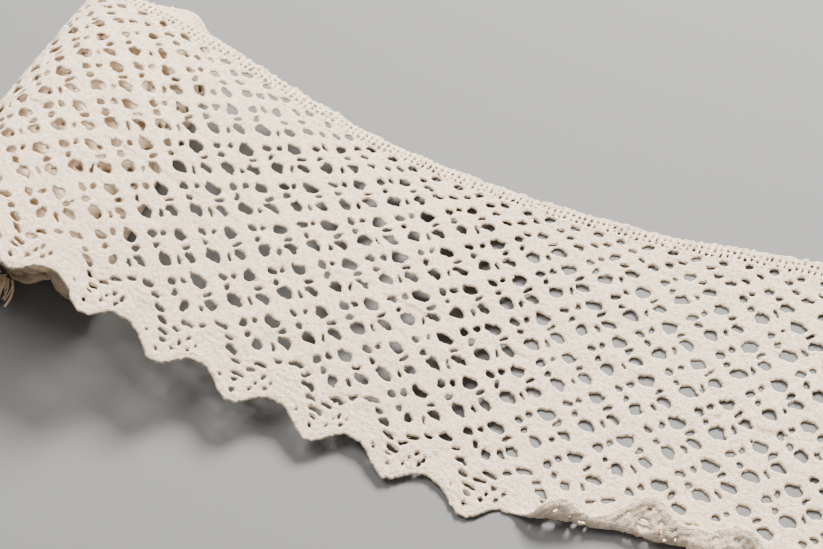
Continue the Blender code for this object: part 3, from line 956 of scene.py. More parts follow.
class Link:
    """A socket of a material, so that maths on it is written as an expression."""

    def __init__(self, maker: NodeMaker, socket: bpy.types.NodeSocket) -> None:
        """Keeps the socket and what makes nodes beside it."""
        self.maker = maker
        self.socket = socket

    def maths(self, operation: str, *others: "Link | float", flipped: bool = False) -> "Link":
        """Makes one Math node of this and other values.

        Args:
            operation: the Math node's operation.
            others: the values that follow this one.
            flipped: whether this value comes last.

        Returns:
            The result.
        """
        values = [*others, self] if flipped else [self, *others]
        node = self.maker.node("ShaderNodeMath", {"operation": operation}, dict(enumerate(values)))
        return Link(self.maker, node.outputs[0])

    def __add__(self, other: "Link | float") -> "Link":
        """Returns the sum."""
        return self.maths("ADD", other)

    def __radd__(self, other: float) -> "Link":
        """Returns the sum."""
        return self.maths("ADD", other)

    def __sub__(self, other: "Link | float") -> "Link":
        """Returns the difference."""
        return self.maths("SUBTRACT", other)

    def __rsub__(self, other: float) -> "Link":
        """Returns the difference from a number."""
        return self.maths("SUBTRACT", other, flipped=True)

    def __mul__(self, other: "Link | float") -> "Link":
        """Returns the product."""
        return self.maths("MULTIPLY", other)

    def __rmul__(self, other: float) -> "Link":
        """Returns the product."""
        return self.maths("MULTIPLY", other)

    def wave(self) -> "Link":
        """Returns the cosine."""
        return self.maths("COSINE")

    def rise(self, low: float, high: float) -> "Link":
        """Returns a smooth rise from 0 to 1 as the value goes from low to high."""
        node = self.maker.node(
            "ShaderNodeMapRange",
            {"interpolation_type": "SMOOTHSTEP"},
            {"Value": self, "From Min": low, "From Max": high},
        )
        return Link(self.maker, node.outputs["Result"])


class Dressing(NodeMaker):
    """A material, with the few nodes that the finishes here are made of."""

    def __init__(self, name: str) -> None:
        """Makes the material with its shader."""
        self.material = bpy.data.materials.new(name)
        self.material.use_nodes = True
        super().__init__(self.material.node_tree)
        self.shader = self.tree.nodes["Principled BSDF"]

    def attribute(self, name: str, output: str) -> Link:
        """Returns one of a mesh's own attributes."""
        node = self.node("ShaderNodeAttribute", {"attribute_name": name})
        return Link(self, node.outputs[output])

    def parts(self, vector: Link) -> tuple[Link, Link, Link]:
        """Returns a vector's three numbers."""
        node = self.node("ShaderNodeSeparateXYZ", None, {0: vector})
        return tuple(Link(self, socket) for socket in node.outputs)

    def noise(self, place: Link, size: float, detail: float = 2.0, roughness: float = 0.5) -> Link:
        """Makes a noise.

        Args:
            place: where it is read, in metres.
            size: the size of its patches, in metres.
            detail: how many finer noises it holds.
            roughness: how strong the finer ones are.

        Returns:
            The noise, from 0 to 1.
        """
        inputs = {"Vector": place, "Scale": 1.0 / size, "Detail": detail, "Roughness": roughness}
        return Link(self, self.node("ShaderNodeTexNoise", None, inputs).outputs[0])

    def blend(self, share: Link, first: Link | tuple, second: Link | tuple) -> Link:
        """Returns a colour between two, at a share of the way to the second."""
        inputs = {"Factor": share, 6: first, 7: second}
        node = self.node("ShaderNodeMix", {"data_type": "RGBA"}, inputs)
        return Link(self, node.outputs[2])

    def bump(self, height: Link, strength: float, distance: float) -> Link:
        """Returns the normal of a surface with a height on it."""
        inputs = {"Strength": strength, "Distance": distance, "Height": height}
        return Link(self, self.node("ShaderNodeBump", None, inputs).outputs[0])

    def finish(self, **values: Link | float | tuple) -> bpy.types.Material:
        """Sets the shader's sockets, by their names with _ for each space, and returns the material."""
        for name, value in values.items():
            socket = self.shader.inputs[name.replace("_", " ")]
            if isinstance(value, Link):
                self.tree.links.new(value.socket, socket)
            else:
                socket.default_value = value
        return self.material


@dataclass(frozen=True)
class CottonLace:
    """The finish of the worked cotton: soft matt yarns that cross on the slant, a little uneven, and darker
    where their bumps are low, as painted shade in the hollows.
    """

    name: str = "cotton_lace"
    light: tuple = (0.97, 0.80, 0.60, 1.0)
    # dark is the colour of painted shade: the yarn's hollows and the footing's pits are pulled towards it,
    # along with the yarn's own uneven tone.
    dark: tuple = (0.64, 0.46, 0.305, 1.0)
    warm: tuple = (0.93, 0.72, 0.50, 1.0)
    yarn_pitch: float = 0.95 * MM
    lint: float = 0.42 * MM
    mottle: float = 1.1 * MM
    patch: float = 14.0 * MM
    roughness: float = 0.9
    bump_height: float = 0.30 * MM
    bump_strength: float = 1.0

    def make(self) -> bpy.types.Material:
        """Returns the material."""
        dress = Dressing(self.name)
        place = dress.attribute("flat_place", "Vector")
        around = Link(dress, dress.node("ShaderNodeTexCoord").outputs["Object"])
        x, y, _ = dress.parts(place)
        wander = (dress.noise(place, 3.0 * MM) - 0.5) * (1.8 * MM)
        turn = 2 * math.pi / self.yarn_pitch
        one_way = ((x + y * 0.72 + wander) * turn).wave()
        other_way = ((x * 0.9 - y * 0.8 + wander) * turn).wave()
        yarns = (one_way * other_way) * 0.5 + 0.5
        lint = dress.noise(around, self.lint, 3.0, 0.65).rise(0.30, 0.66)
        clumps = dress.noise(around, self.mottle, 2.0, 0.55).rise(0.30, 0.66)
        height = yarns * 0.35 + lint * 0.65 + clumps * 0.55
        # The colour is darker where the height above is low: painted shade in the yarn's hollows, over the
        # yarn's own uneven tone.
        tone = (yarns * 0.20 + lint * 0.36 + clumps * 0.44).rise(0.08, 0.80)
        colour = dress.blend(tone, self.dark, self.light)
        patches = dress.noise(around, self.patch).rise(0.35, 0.75)
        colour = dress.blend(patches * 0.30, colour, self.warm)
        pits = self.pits(x, y)
        # Painted shade: the footing's pits are darkened in the colour, as well as sunk in the bump.
        colour = dress.blend(pits * 0.65, colour, self.dark)
        return dress.finish(
            Base_Color=colour,
            Roughness=lint * 0.1 + (self.roughness - 0.05),
            Normal=dress.bump(height - pits, self.bump_strength, self.bump_height),
            Sheen_Weight=0.2,
            Sheen_Roughness=0.6,
            Specular_IOR_Level=0.2,
        )

    def pits(self, x: Link, y: Link) -> Link:
        """Returns the rows of faint pits between the footing's ribs, 1 in a pit and 0 elsewhere; the colour
        is darkened there as painted shade.
        """
        between = ((x * (2 * math.pi * RIBS_PER_REPEAT / REPEAT)).wave() * -1.0).rise(0.35, 0.95)
        rows = None
        for t in (2.43, 2.60, 2.78, 2.86):
            row = ((y * (1 / ROSE_ROW) - t).maths("ABSOLUTE") * -1.0).rise(-0.028, -0.006)
            rows = row if rows is None else rows + row
        return between * rows


@dataclass(frozen=True)
class CottonYarn:
    """The finish of single stitches and loose fibres."""

    name: str = "cotton_yarn"
    light: tuple = (0.97, 0.80, 0.60, 1.0)
    dark: tuple = (0.80, 0.62, 0.44, 1.0)
    ply: float = 0.35 * MM
    roughness: float = 0.9

    def make(self) -> bpy.types.Material:
        """Returns the material."""
        dress = Dressing(self.name)
        around = Link(dress, dress.node("ShaderNodeTexCoord").outputs["Object"])
        ply = dress.noise(around, self.ply, 2.0)
        return dress.finish(
            Base_Color=dress.blend(ply.rise(0.3, 0.7), self.dark, self.light),
            Roughness=self.roughness,
            Normal=dress.bump(ply, 0.5, 0.1 * MM),
            Sheen_Weight=0.25,
            Specular_IOR_Level=0.25,
        )


@dataclass
class OuterLace:
    """The outer turn and the loose end: one length of lace, in three pieces for their size."""

    seed: int = 7
    cell: float = 0.52 * MM
    splits: tuple = (-7.25, -2.55)
    names: tuple = ("lace_over_roll", "lace_slope", "lace_loose_end")
    rests: tuple = (("wound_turn",), ("wound_turn", "floor"), ("floor",))

    def build(self, form: LaceForm, material: bpy.types.Material) -> list[bpy.types.Object]:
        """Args:
            form: the surface that the lace lies in.
            material: the cotton's finish.

        Returns:
            The pieces.
        """
        lace = FlatLace(LaceChart(self.seed), LACE_START, LACE_END, self.cell).make()
        sheet = ClosedSheet(lace, LaceRelief(), form.lay)
        items = sheet.build(self.names, self.splits)
        ends = (LACE_START, *self.splits, LACE_END)
        for item, rests, first, last in zip(items, self.rests, ends, ends[1:]):
            item.data.materials.append(material)
            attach(item, ROOT)
            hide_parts("lace_band")
            length = (last - first) * REPEAT
            log.info("%s: %d triangles, %.0f mm long", item.name, len(item.data.polygons), length / MM)
        return items


@dataclass
class RollSection:
    """The outline of the turns inside, looking along the roll, at its two ends."""

    cloth: float = 1.2 * MM
    turn_gap: float = 1.1 * MM
    side_steps: int = 24
    points: int = 48
    covered_points: int = 26
    footing_end: float = 61.5 * MM
    toothed_end: float = -52.5 * MM
    core_height: float = 0.44
    fineness: int = 8

    def outline(self, across: float) -> np.ndarray:
        """Returns the outline at one end, as x and z, from under the roll up its left side."""
        share = footing_share(across)
        line = smooth_line(stations_at(LACE_STATIONS, share), self.side_steps)
        line = line[: LAST_STATION_ON_ROLL * self.side_steps + 1]
        heading = np.gradient(line, axis=0)
        heading /= np.linalg.norm(heading, axis=1)[:, None]
        inward = np.stack([heading[:, 1], -heading[:, 0]], axis=1)
        covered = self.even(line + inward * (self.cloth / 2 + self.turn_gap), self.covered_points)
        right = smooth_line(np.vstack([covered[-3:], stations_at(ROLL_RIGHT_SIDE, share)]), self.side_steps)
        right = self.even(right[2 * self.side_steps:], self.points - self.covered_points - 2)[1:]
        right[:, 1] = np.maximum(right[:, 1], 0.0)
        flat_start = stations_at((FLAT_START,), share)[0]
        flat = [right[-1] + (flat_start - right[-1]) * q for q in (1 / 3, 2 / 3, 1.0)]
        return np.vstack([covered, right, flat])

    def even(self, line: np.ndarray, count: int) -> np.ndarray:
        """Returns a number of even points along a line."""
        run = run_along(line)
        places = np.linspace(0.0, run[-1], count)
        return np.stack([np.interp(places, run, line[:, i]) for i in range(2)], axis=1)

    def table(self) -> np.ndarray:
        """Returns fine closed outlines of both ends, the toothed one first in each row."""
        fine = []
        for across in (self.toothed_end, self.footing_end):
            outline = self.outline(across)
            wrapped = np.vstack([outline[-2:], outline, outline[:2]])
            line = smooth_line(wrapped, self.fineness)
            fine.append(line[2 * self.fineness: (2 + len(outline)) * self.fineness + 1])
        return np.stack(fine, axis=1)


@dataclass
class WoundTurns:
    """The turns inside: a long length of lace wound in a loose, flat spiral."""

    turns: float = 12.0
    pitch: float = 0.075
    inset: float = 0.018
    wobble: float = 0.010
    bulge: float = 8.5 * MM
    bulge_at: float = 0.583
    bulge_half_width: float = 0.19
    low_recess: float = 17.0 * MM
    recess_steepness: float = 1.8
    recess_from: float = -15.0 * MM
    recess_width: float = 43.0 * MM
    ruffle: float = 1.6 * MM
    ruffle_pitch: float = 11.0 * MM
    # Each place in turns from the outside, and how far the lace is pushed aside there, in mm
    pushes: tuple = ((0.0, 0.0), (0.8, 0.3), (1.3, 2.4), (2.1, 1.4), (3.0, 0.6), (4.0, 2.8),
                     (5.2, 0.9), (6.2, 3.4), (7.4, 1.2), (8.6, 2.8), (10.0, 0.8), (12.0, 2.6))
    outer_turns: float = 1.25
    core_parted: float = 4.5
    outer_cell: float = 0.80 * MM
    inner_cell: float = 1.45 * MM
    seed: int = 31
    openness: float = 0.55
    least_opening: float = 0.9
    least_inner_opening: float = 1.7
    probe: float = 0.3 * MM

    def __post_init__(self) -> None:
        """Works out the run along the spiral, from its inner end to its outer end."""
        self.section = RollSection()
        self.outline = self.section.table()
        self.steps = len(self.outline) - 1
        inward = np.linspace(0.0, self.turns, int(self.turns * self.steps) + 1)
        middle = np.full_like(inward, 0.5)
        points = self.spiral(inward, middle)
        self.inward = inward
        self.run = run_along(points)

    def spiral(self, inward: np.ndarray, share: np.ndarray) -> np.ndarray:
        """Works out points of the spiral.

        Args:
            inward: how many turns in from the outer end.
            share: how far across the roll, from its toothed end at 0 to its footing end at 1.

        Returns:
            The points, as x and z in metres.
        """
        place = (1.0 - np.mod(inward, 1.0)) * self.steps
        point = table_at(self.outline, place, share)
        low, high = self.outline.min(axis=0), self.outline.max(axis=0)
        edge = share[:, None]
        low = low[0] * (1 - edge) + low[1] * edge
        high = high[0] * (1 - edge) + high[1] * edge
        core = low + (high - low) * np.array([0.5, self.section.core_height])
        uneven = self.wobble * np.sin(2 * math.pi * 2 * inward + 0.7 * np.floor(inward))
        scale = 1.0 - self.inset - self.pitch * inward + uneven * np.minimum(inward, 1.0)
        return core + (point - core) * scale[:, None]

    def place(self, flat: np.ndarray) -> np.ndarray:
        """Lays flat places in the spiral. The outer end is at 0 along the flat lace."""
        inward = np.interp(-flat[:, 0], self.run, self.inward)
        across = flat[:, 1]
        span = self.section.footing_end - self.section.toothed_end
        share = np.clip((across - self.section.toothed_end) / span, -0.06, 1.02)
        points = self.wide_spiral(inward, share)
        around = 1.0 - np.mod(inward, 1.0)
        table = np.array(self.pushes)
        push = np.interp(inward, table[:, 0], table[:, 1]) * MM
        off = np.clip(np.abs(around - self.bulge_at) / self.bulge_half_width, 0.0, 1.0)
        bulge = self.bulge * (0.5 + 0.5 * np.cos(math.pi * off)) * (inward < 1.0)
        tooth_z = table_at(self.outline, around * self.steps, np.zeros_like(around))[:, 1]
        below_top = 1.0 - tooth_z / self.outline[:, 0, 1].max()
        low = np.minimum(1.0, self.recess_steepness * below_top)
        margin = soft_step((self.recess_from - across) / self.recess_width)
        moved = across + push + bulge * soft_step(footing_share(across) * 1.6 - 0.6)
        moved = moved + self.low_recess * low * margin
        ruffle = self.ruffle * low * margin * np.sin(2 * math.pi * across / self.ruffle_pitch)
        x, y = in_plan(points[:, 0], moved)
        return np.stack([x, y, np.maximum(points[:, 1] + ruffle, LEAST_HEIGHT)], axis=1)

    def wide_spiral(self, inward: np.ndarray, share: np.ndarray) -> np.ndarray:
        """Returns points of the spiral, carried on in line a little past the section's two ends."""
        inside = np.clip(share, 0.0, 1.0)
        points = self.spiral(inward, inside)
        whole = self.spiral(inward, np.ones_like(share)) - self.spiral(inward, np.zeros_like(share))
        return points + whole * (share - inside)[:, None]

    def lay(self, flat: np.ndarray) -> tuple[np.ndarray, np.ndarray]:
        """Returns the points of flat places in the spiral, and the way out of its outer side there."""
        along = np.array([self.probe, 0.0])
        aside = np.array([0.0, self.probe])
        one_way = self.place(flat + along) - self.place(flat - along)
        other_way = self.place(flat + aside) - self.place(flat - aside)
        normals = np.cross(one_way, other_way)
        return self.place(flat), normals / np.maximum(np.linalg.norm(normals, axis=1), 1e-9)[:, None]

    def build(self, material: bpy.types.Material) -> list[bpy.types.Object]:
        """Args:
            material: the cotton's finish, a lighter copy with painted light that stands in for the light
                passing through the turns over them.

        Returns:
            The pieces.
        """
        parted, halfway, whole = (float(np.interp(turn, self.inward, self.run))
                                  for turn in (self.outer_turns, self.core_parted, self.turns))
        lengths = (("wound_turn", parted, 0.0, self.outer_cell, self.least_opening),
                   ("wound_middle", halfway, parted, self.inner_cell, self.least_inner_opening),
                   ("wound_core", whole - 1.0 * MM, halfway, self.inner_cell, self.least_inner_opening))
        items = []
        for name, far, near, cell, least in lengths:
            chart = LaceChart(self.seed, self.openness, least)
            lace = FlatLace(chart, -far / REPEAT, -(near + 0.5 * MM) / REPEAT, cell).make()
            sheet = ClosedSheet(lace, LaceRelief(wave=0.15 * MM), self.lay)
            item = sheet.build((name,))[0]
            item.data.materials.append(material)
            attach(item, ROOT)
            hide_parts("wound_roll")
            log.info("%s: %d triangles, %.0f mm long", name, len(item.data.polygons), (far - near) / MM)
            items.append(item)
        return items


class GeometryTree(NodeMaker):
    """A geometry tree with named inputs, made to grow one piece from a plain mesh."""

    def __init__(self, name: str, inputs: tuple[tuple[str, str], ...]) -> None:
        """Sets up the tree.

        Args:
            name: the tree's name.
            inputs: each input's name and its socket's type.
        """
        super().__init__(bpy.data.node_groups.new(name, "GeometryNodeTree"))
        self.name = name
        sockets = (("Geometry", "NodeSocketGeometry"), *inputs, ("Material", "NodeSocketMaterial"))
        for label, kind in sockets:
            self.tree.interface.new_socket(label, in_out="INPUT", socket_type=kind)
        self.tree.interface.new_socket("Geometry", in_out="OUTPUT", socket_type="NodeSocketGeometry")
        self.given = self.tree.nodes.new("NodeGroupInput").outputs
        self.result = self.tree.nodes.new("NodeGroupOutput")

    def close(self, geometry: bpy.types.NodeSocket) -> None:
        """Ends the tree: makes the copies real and gives them their material."""
        real = self.node("GeometryNodeRealizeInstances", None, {0: geometry})
        coat = self.node("GeometryNodeSetMaterial", None,
                         {0: real.outputs[0], "Material": self.given["Material"]})
        self.tree.links.new(coat.outputs[0], self.result.inputs[0])

    def grow(self, name: str, source: bpy.types.Mesh, values: dict) -> bpy.types.Object:
        """Runs the tree on a mesh and keeps what it gives as a plain mesh.

        Args:
            name: the new piece's name.
            source: the mesh that it grows from.
            values: a value for each named input.

        Returns:
            The piece.
        """
        base = add_object(name + "_base", source)
        modifier = base.modifiers.new(self.name, "NODES")
        modifier.node_group = self.tree
        for item in self.tree.interface.items_tree:
            if item.in_out == "INPUT" and item.name in values:
                modifier[item.identifier] = values[item.name]
        graph = bpy.context.evaluated_depsgraph_get()
        mesh = bpy.data.meshes.new_from_object(base.evaluated_get(graph))
        base.modifiers.remove(modifier)
        bpy.data.objects.remove(base, do_unlink=True)
        mesh.name = name
        mesh.shade_smooth()
        return add_object(name, mesh)

    def bent_yarn(self, length: bpy.types.NodeSocket, radius: bpy.types.NodeSocket, rise: float,
                  steps: int, sides: int) -> bpy.types.NodeSocket:
        """Makes one short length of yarn that lies along X and rises in its middle.

        Args:
            length: its length.
            radius: its radius.
            rise: the height of its middle control point, as a share of its length.
            steps: the number of its steps.
            sides: the number of its sides.

        Returns:
            The yarn's geometry.
        """
        half = self.node("ShaderNodeMath", {"operation": "MULTIPLY"}, {0: length, 1: 0.5}).outputs[0]
        back = self.node("ShaderNodeMath", {"operation": "MULTIPLY"}, {0: length, 1: -0.5}).outputs[0]
        high = self.node("ShaderNodeMath", {"operation": "MULTIPLY"}, {0: length, 1: rise}).outputs[0]
        start = self.node("ShaderNodeCombineXYZ", None, {"X": back}).outputs[0]
        middle = self.node("ShaderNodeCombineXYZ", None, {"Z": high}).outputs[0]
        end = self.node("ShaderNodeCombineXYZ", None, {"X": half}).outputs[0]
        arc = self.node("GeometryNodeCurveQuadraticBezier", None,
                        {"Resolution": steps, "Start": start, "Middle": middle, "End": end})
        ring = self.node("GeometryNodeCurvePrimitiveCircle", None, {"Resolution": sides, "Radius": radius})
        tube = self.node("GeometryNodeCurveToMesh", None,
                         {"Curve": arc.outputs[0], "Profile Curve": ring.outputs[0], "Fill Caps": True})
        return tube.outputs[0]

    def any_number(self, low: float, high: float, offset: int) -> bpy.types.NodeSocket:
        """Returns a random number for each copy, from the tree's seed."""
        seed = self.node("ShaderNodeMath", {"operation": "ADD"}, {0: self.given["Seed"], 1: float(offset)})
        node = self.node("FunctionNodeRandomValue", {"data_type": "FLOAT"},
                         {2: low, 3: high, "Seed": seed.outputs[0]})
        return node.outputs[1]


@dataclass
class FootingRibs:
    """The close ribs of yarn across the footing, worked over its edge."""

    middle_t: float = 2.745
    length: float = 4.6 * MM
    radius: float = 0.36 * MM
    sink: float = 0.30 * MM
    rise: float = 0.05
    lean: float = 0.10
    seed: int = 5

    def path(self, form: LaceForm) -> bpy.types.Mesh:
        """Returns a line of points along the footing, with the way out and the way across at each."""
        count = int((LACE_END - LACE_START) * RIBS_PER_REPEAT) - 1
        first = math.ceil(LACE_START * RIBS_PER_REPEAT)
        s = (first + np.arange(1, count)) / RIBS_PER_REPEAT
        flat = np.stack([s * REPEAT, np.full_like(s, self.middle_t * ROSE_ROW)], axis=1)
        points, out = form.lay(flat)
        flat_above = flat + np.array([0.0, 1.0 * MM])
        across = form.place(flat_above) - points
        mesh = bpy.data.meshes.new("footing_path")
        lifted = points + out * (LaceRelief().half_thickness - self.sink)
        mesh.from_pydata(lifted.tolist(), [], [])
        keep_attribute(mesh, "way_out", out)
        keep_attribute(mesh, "way_across", across)
        return mesh

    def build(self, form: LaceForm, material: bpy.types.Material) -> bpy.types.Object:
        """Makes, dresses and places the ribs.

        Args:
            form: the surface that the lace lies in.
            material: the yarn's finish.

        Returns:
            The ribs, as one piece.
        """
        tree = GeometryTree("rib_tree", (("Length", "NodeSocketFloat"), ("Radius", "NodeSocketFloat"),
                                         ("Lean", "NodeSocketFloat"), ("Seed", "NodeSocketInt")))
        yarn = tree.bent_yarn(tree.given["Length"], tree.given["Radius"], self.rise, 9, 7)
        ways = [tree.node("GeometryNodeInputNamedAttribute", {"data_type": "FLOAT_VECTOR"}, {"Name": name})
                for name in ("way_out", "way_across")]
        turn = tree.node("FunctionNodeAxesToRotation", {"primary_axis": "Z", "secondary_axis": "X"},
                         {0: ways[0].outputs[0], 1: ways[1].outputs[0]})
        wide = tree.node("ShaderNodeCombineXYZ", None, {
            "X": tree.any_number(0.88, 1.06, 1), "Y": tree.any_number(0.8, 1.25, 2), "Z": 1.0})
        placed = tree.node("GeometryNodeInstanceOnPoints", None, {
            "Points": tree.given["Geometry"], "Instance": yarn, "Rotation": turn.outputs[0],
            "Scale": wide.outputs[0]})
        leaning = tree.node("ShaderNodeMath", {"operation": "MULTIPLY"},
                            {0: tree.any_number(-1.0, 1.0, 3), 1: tree.given["Lean"]})
        spin = tree.node("ShaderNodeCombineXYZ", None, {"Z": leaning.outputs[0]})
        turned = tree.node("GeometryNodeRotateInstances", None,
                           {"Instances": placed.outputs[0], "Rotation": spin.outputs[0]})
        tree.close(turned.outputs[0])
        item = tree.grow("footing_ribs", self.path(form), {
            "Length": self.length, "Radius": self.radius, "Lean": self.lean, "Seed": self.seed,
            "Material": material})
        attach(item, ROOT)
        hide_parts("lace_band")
        log.info("%s: %d faces", item.name, len(item.data.polygons))
        return item


@dataclass
class LooseFibres:
    """Short cotton fibres that stand off the lace all over."""

    per_square_metre: float = 95000.0
    length: float = 1.9 * MM
    radius: float = 0.045 * MM
    least_up: float = -0.15
    seed: int = 3

    def tree(self) -> GeometryTree:
        """Returns the tree that scatters the fibres."""
        tree = GeometryTree("fibre_tree", (("Density", "NodeSocketFloat"), ("Length", "NodeSocketFloat"),
                                           ("Radius", "NodeSocketFloat"), ("Seed", "NodeSocketInt")))
        fibre = tree.bent_yarn(tree.given["Length"], tree.given["Radius"], 0.5, 5, 3)
        normal = tree.node("GeometryNodeInputNormal")
        up = tree.node("ShaderNodeSeparateXYZ", None, {0: normal.outputs[0]})
        picked = tree.node("FunctionNodeCompare", {"data_type": "FLOAT", "operation": "GREATER_THAN"},
                           {0: up.outputs["Z"], 1: self.least_up})
        spread = tree.node("GeometryNodeDistributePointsOnFaces", None, {
            "Mesh": tree.given["Geometry"], "Selection": picked.outputs[0],
            "Density": tree.given["Density"], "Seed": tree.given["Seed"]})
        turn = tree.node("ShaderNodeCombineXYZ", None, {
            axis: tree.any_number(-math.pi, math.pi, number) for number, axis in enumerate("XYZ", 1)})
        placed = tree.node("GeometryNodeInstanceOnPoints", None, {
            "Points": spread.outputs[0], "Instance": fibre, "Rotation": turn.outputs[0],
            "Scale": tree.any_number(0.35, 1.0, 4)})
        tree.close(placed.outputs[0])
        return tree

    def build(self, sheets: list[bpy.types.Object], material: bpy.types.Material) -> None:
        """Makes, dresses and places the fibres of each piece of lace.

        Args:
            sheets: the pieces that the fibres stand on.
            material: the fibres' finish.
        """
        tree = self.tree()
        for number, sheet in enumerate(sheets):
            item = tree.grow(f"loose_fibres_{number + 1}", sheet.data.copy(), {
                "Density": self.per_square_metre, "Length": self.length, "Radius": self.radius,
                "Seed": self.seed + number, "Material": material})
            clamp_to_floor(item)
            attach(item, ROOT)
            log.info("%s: %d faces", item.name, len(item.data.polygons))


def clamp_to_floor(item: bpy.types.Object) -> None:
    """Lifts the points of a piece that would go through the floor."""
    points = np.empty(len(item.data.vertices) * 3, np.float32)
    item.data.vertices.foreach_get("co", points)
    points[2::3] = np.maximum(points[2::3], 0.04 * MM)
    item.data.vertices.foreach_set("co", points)
    item.data.update()


@dataclass
class FrayedEnd:
    """The frayed yarns of the cut end, which hang out of the roll at its toothed side."""

    start: tuple = (-3.0 * MM, -43.0 * MM, 6.0 * MM)
    end: tuple = (7.0 * MM, -45.5 * MM, 5.0 * MM)
    count: int = 54
    length: float = 9.0 * MM
    radius: float = 0.36 * MM
    seed: int = 9

    def build(self, material: bpy.types.Material) -> bpy.types.Object:
        """Makes, dresses and places the frayed yarns.

        Args:
            material: the yarns' finish.

        Returns:
            The yarns, as one piece.
        """
        rng = np.random.default_rng(self.seed)
        share = rng.uniform(0.0, 1.0, (self.count, 1))
        points = np.array(self.start) * (1 - share) + np.array(self.end) * share
        points += rng.uniform(-1.0, 1.0, points.shape) * np.array((0.8, 1.6, 1.2)) * MM
        mesh = bpy.data.meshes.new("cut_end")
        mesh.from_pydata(points.tolist(), [], [])
        tree = GeometryTree("fray_tree", (("Length", "NodeSocketFloat"), ("Radius", "NodeSocketFloat"),
                                          ("Seed", "NodeSocketInt")))
        yarn = tree.bent_yarn(tree.given["Length"], tree.given["Radius"], 0.28, 9, 6)
        shifted = tree.node("ShaderNodeMath", {"operation": "MULTIPLY"}, {0: tree.given["Length"], 1: 0.42})
        away = tree.node("ShaderNodeCombineXYZ", None, {"X": shifted.outputs[0]})
        rooted = tree.node("GeometryNodeTransform", None,
                           {"Geometry": yarn, "Translation": away.outputs[0]})
        turn = tree.node("ShaderNodeCombineXYZ", None, {
            "X": tree.any_number(-1.6, 1.6, 1),
            "Y": tree.any_number(-0.30, 0.55, 2),
            "Z": tree.any_number(-2.35, -1.0, 3)})
        placed = tree.node("GeometryNodeInstanceOnPoints", None, {
            "Points": tree.given["Geometry"], "Instance": rooted.outputs[0], "Rotation": turn.outputs[0],
            "Scale": tree.any_number(0.45, 1.1, 4)})
        tree.close(placed.outputs[0])
        item = tree.grow("frayed_end", mesh, {
            "Length": self.length, "Radius": self.radius, "Seed": self.seed, "Material": material})
        clamp_to_floor(item)
        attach(item, ROOT)
        log.info("%s: %d faces", item.name, len(item.data.polygons))
        return item


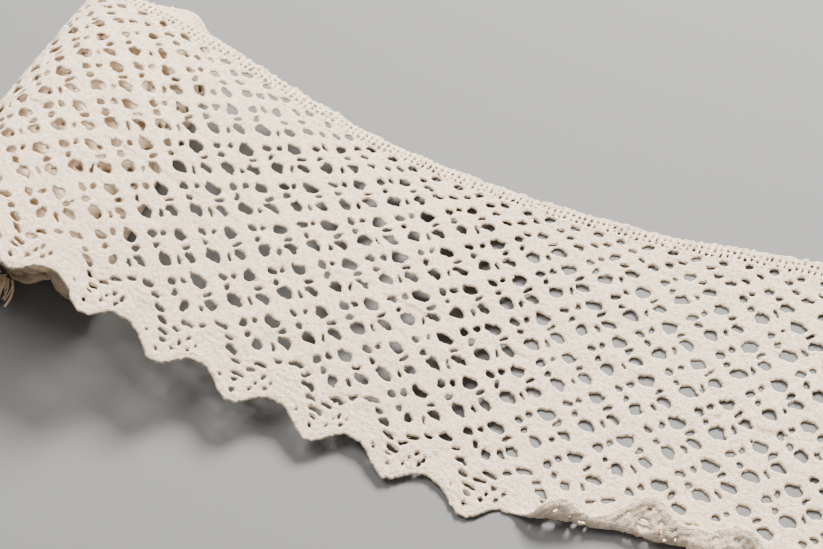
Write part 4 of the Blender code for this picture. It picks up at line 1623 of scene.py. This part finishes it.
@dataclass
class Studio:
    """The floor, the lights and the camera."""

    floor_size: float = 6.0
    floor_colour: tuple = (0.16, 0.16, 0.16, 1.0)
    frame_width: int = 823
    focal_pixels: float = 1602.6
    sensor_width: float = 36.0
    azimuth: float = math.radians(26.049)
    elevation: float = math.radians(53.0)
    distance: float = 513.3 * MM
    target: tuple = (117.44 * MM, 17.04 * MM, 0.0)
    world_colour: tuple = (1.0, 0.985, 0.96, 1.0)
    world_strength: float = 0.38
    lit_middle: tuple = (0.10, 0.0, 0.0)
    # Each lamp's name, place, size, watts and colour
    lamps: tuple = (
        ("key", (0.05, 0.88, 0.80), 0.40, 66.0, (1.0, 0.975, 0.94)),
        ("fill", (-0.60, 0.05, 1.00), 0.60, 13.0, (1.0, 0.985, 0.96)),
    )

    def build(self) -> None:
        """Makes everything round the object."""
        self.add_floor()
        self.add_world()
        for name, place, size, watts, colour in self.lamps:
            self.add_lamp(name, Vector(place), size, watts, colour)
        self.add_camera()

    def add_floor(self) -> None:
        """Makes the plain floor."""
        half = self.floor_size / 2
        corners = np.array([(-half, -half, 0.0), (half, -half, 0.0), (half, half, 0.0), (-half, half, 0.0)])
        mesh = make_mesh("floor", corners, np.array([(0, 1, 2), (0, 2, 3)]))
        floor = add_object("floor", mesh)
        dress = Dressing("floor_paint")
        around = Link(dress, dress.node("ShaderNodeTexCoord").outputs["Object"])
        tone = dress.noise(around, 0.25).rise(0.3, 0.7) * 0.04
        lighter = tuple(min(1.0, value * 1.05) for value in self.floor_colour[:3]) + (1.0,)
        mesh.materials.append(dress.finish(Base_Color=dress.blend(tone, self.floor_colour, lighter),
                                           Roughness=0.75, Specular_IOR_Level=0.2))

    def add_world(self) -> None:
        """Makes the soft light from all round."""
        world = bpy.data.worlds.new("soft_room")
        world.use_nodes = True
        background = world.node_tree.nodes["Background"]
        background.inputs["Color"].default_value = self.world_colour
        background.inputs["Strength"].default_value = self.world_strength
        bpy.context.scene.world = world

    def add_lamp(self, name: str, place: Vector, size: float, watts: float, colour: tuple) -> None:
        """Makes one soft lamp that shines on the object.

        Args:
            name: the lamp's name.
            place: where it stands.
            size: the side of its lit square.
            watts: its power.
            colour: its colour.
        """
        lamp = bpy.data.lights.new(name, "AREA")
        lamp.size = size
        lamp.energy = watts
        lamp.color = colour
        item = bpy.data.objects.new(name, lamp)
        item.location = place + Vector(self.lit_middle)
        item.rotation_mode = "QUATERNION"
        item.rotation_quaternion = (-place).to_track_quat("-Z", "Y")
        bpy.context.scene.collection.objects.link(item)

    def add_camera(self) -> None:
        """Makes the camera, where it sees the object as the photo does."""
        camera = bpy.data.cameras.new("camera")
        camera.sensor_fit = "HORIZONTAL"
        camera.sensor_width = self.sensor_width
        camera.lens = self.focal_pixels / self.frame_width * self.sensor_width
        flat = math.cos(self.elevation)
        back = Vector((math.sin(self.azimuth) * flat, -math.cos(self.azimuth) * flat,
                       math.sin(self.elevation)))
        item = bpy.data.objects.new("camera", camera)
        item.location = Vector(self.target) + back * self.distance
        item.rotation_mode = "QUATERNION"
        item.rotation_quaternion = (-back).to_track_quat("-Z", "Y")
        bpy.context.scene.collection.objects.link(item)
        bpy.context.scene.camera = item


def main() -> None:
    """Builds the pieces in order."""
    Studio().build()
    lace_finish = CottonLace().make()
    # The inner turns' finish is a lighter, more saturated copy of the cotton: painted light that stands in
    # for the light passing through the cloth of the turns over them.
    inner_painted_light_finish = CottonLace(name="cotton_inside_painted_light", light=(0.98, 0.78, 0.56, 1.0),
                              dark=(0.84, 0.63, 0.42, 1.0)).make()
    form = LaceForm()
    yarn_finish = CottonYarn().make()
    sheets = OuterLace().build(form, lace_finish)
    WoundTurns().build(inner_painted_light_finish)
    FootingRibs().build(form, yarn_finish)
    LooseFibres().build(sheets, yarn_finish)
    FrayedEnd().build(yarn_finish)


if __name__ == "__main__":
    main()
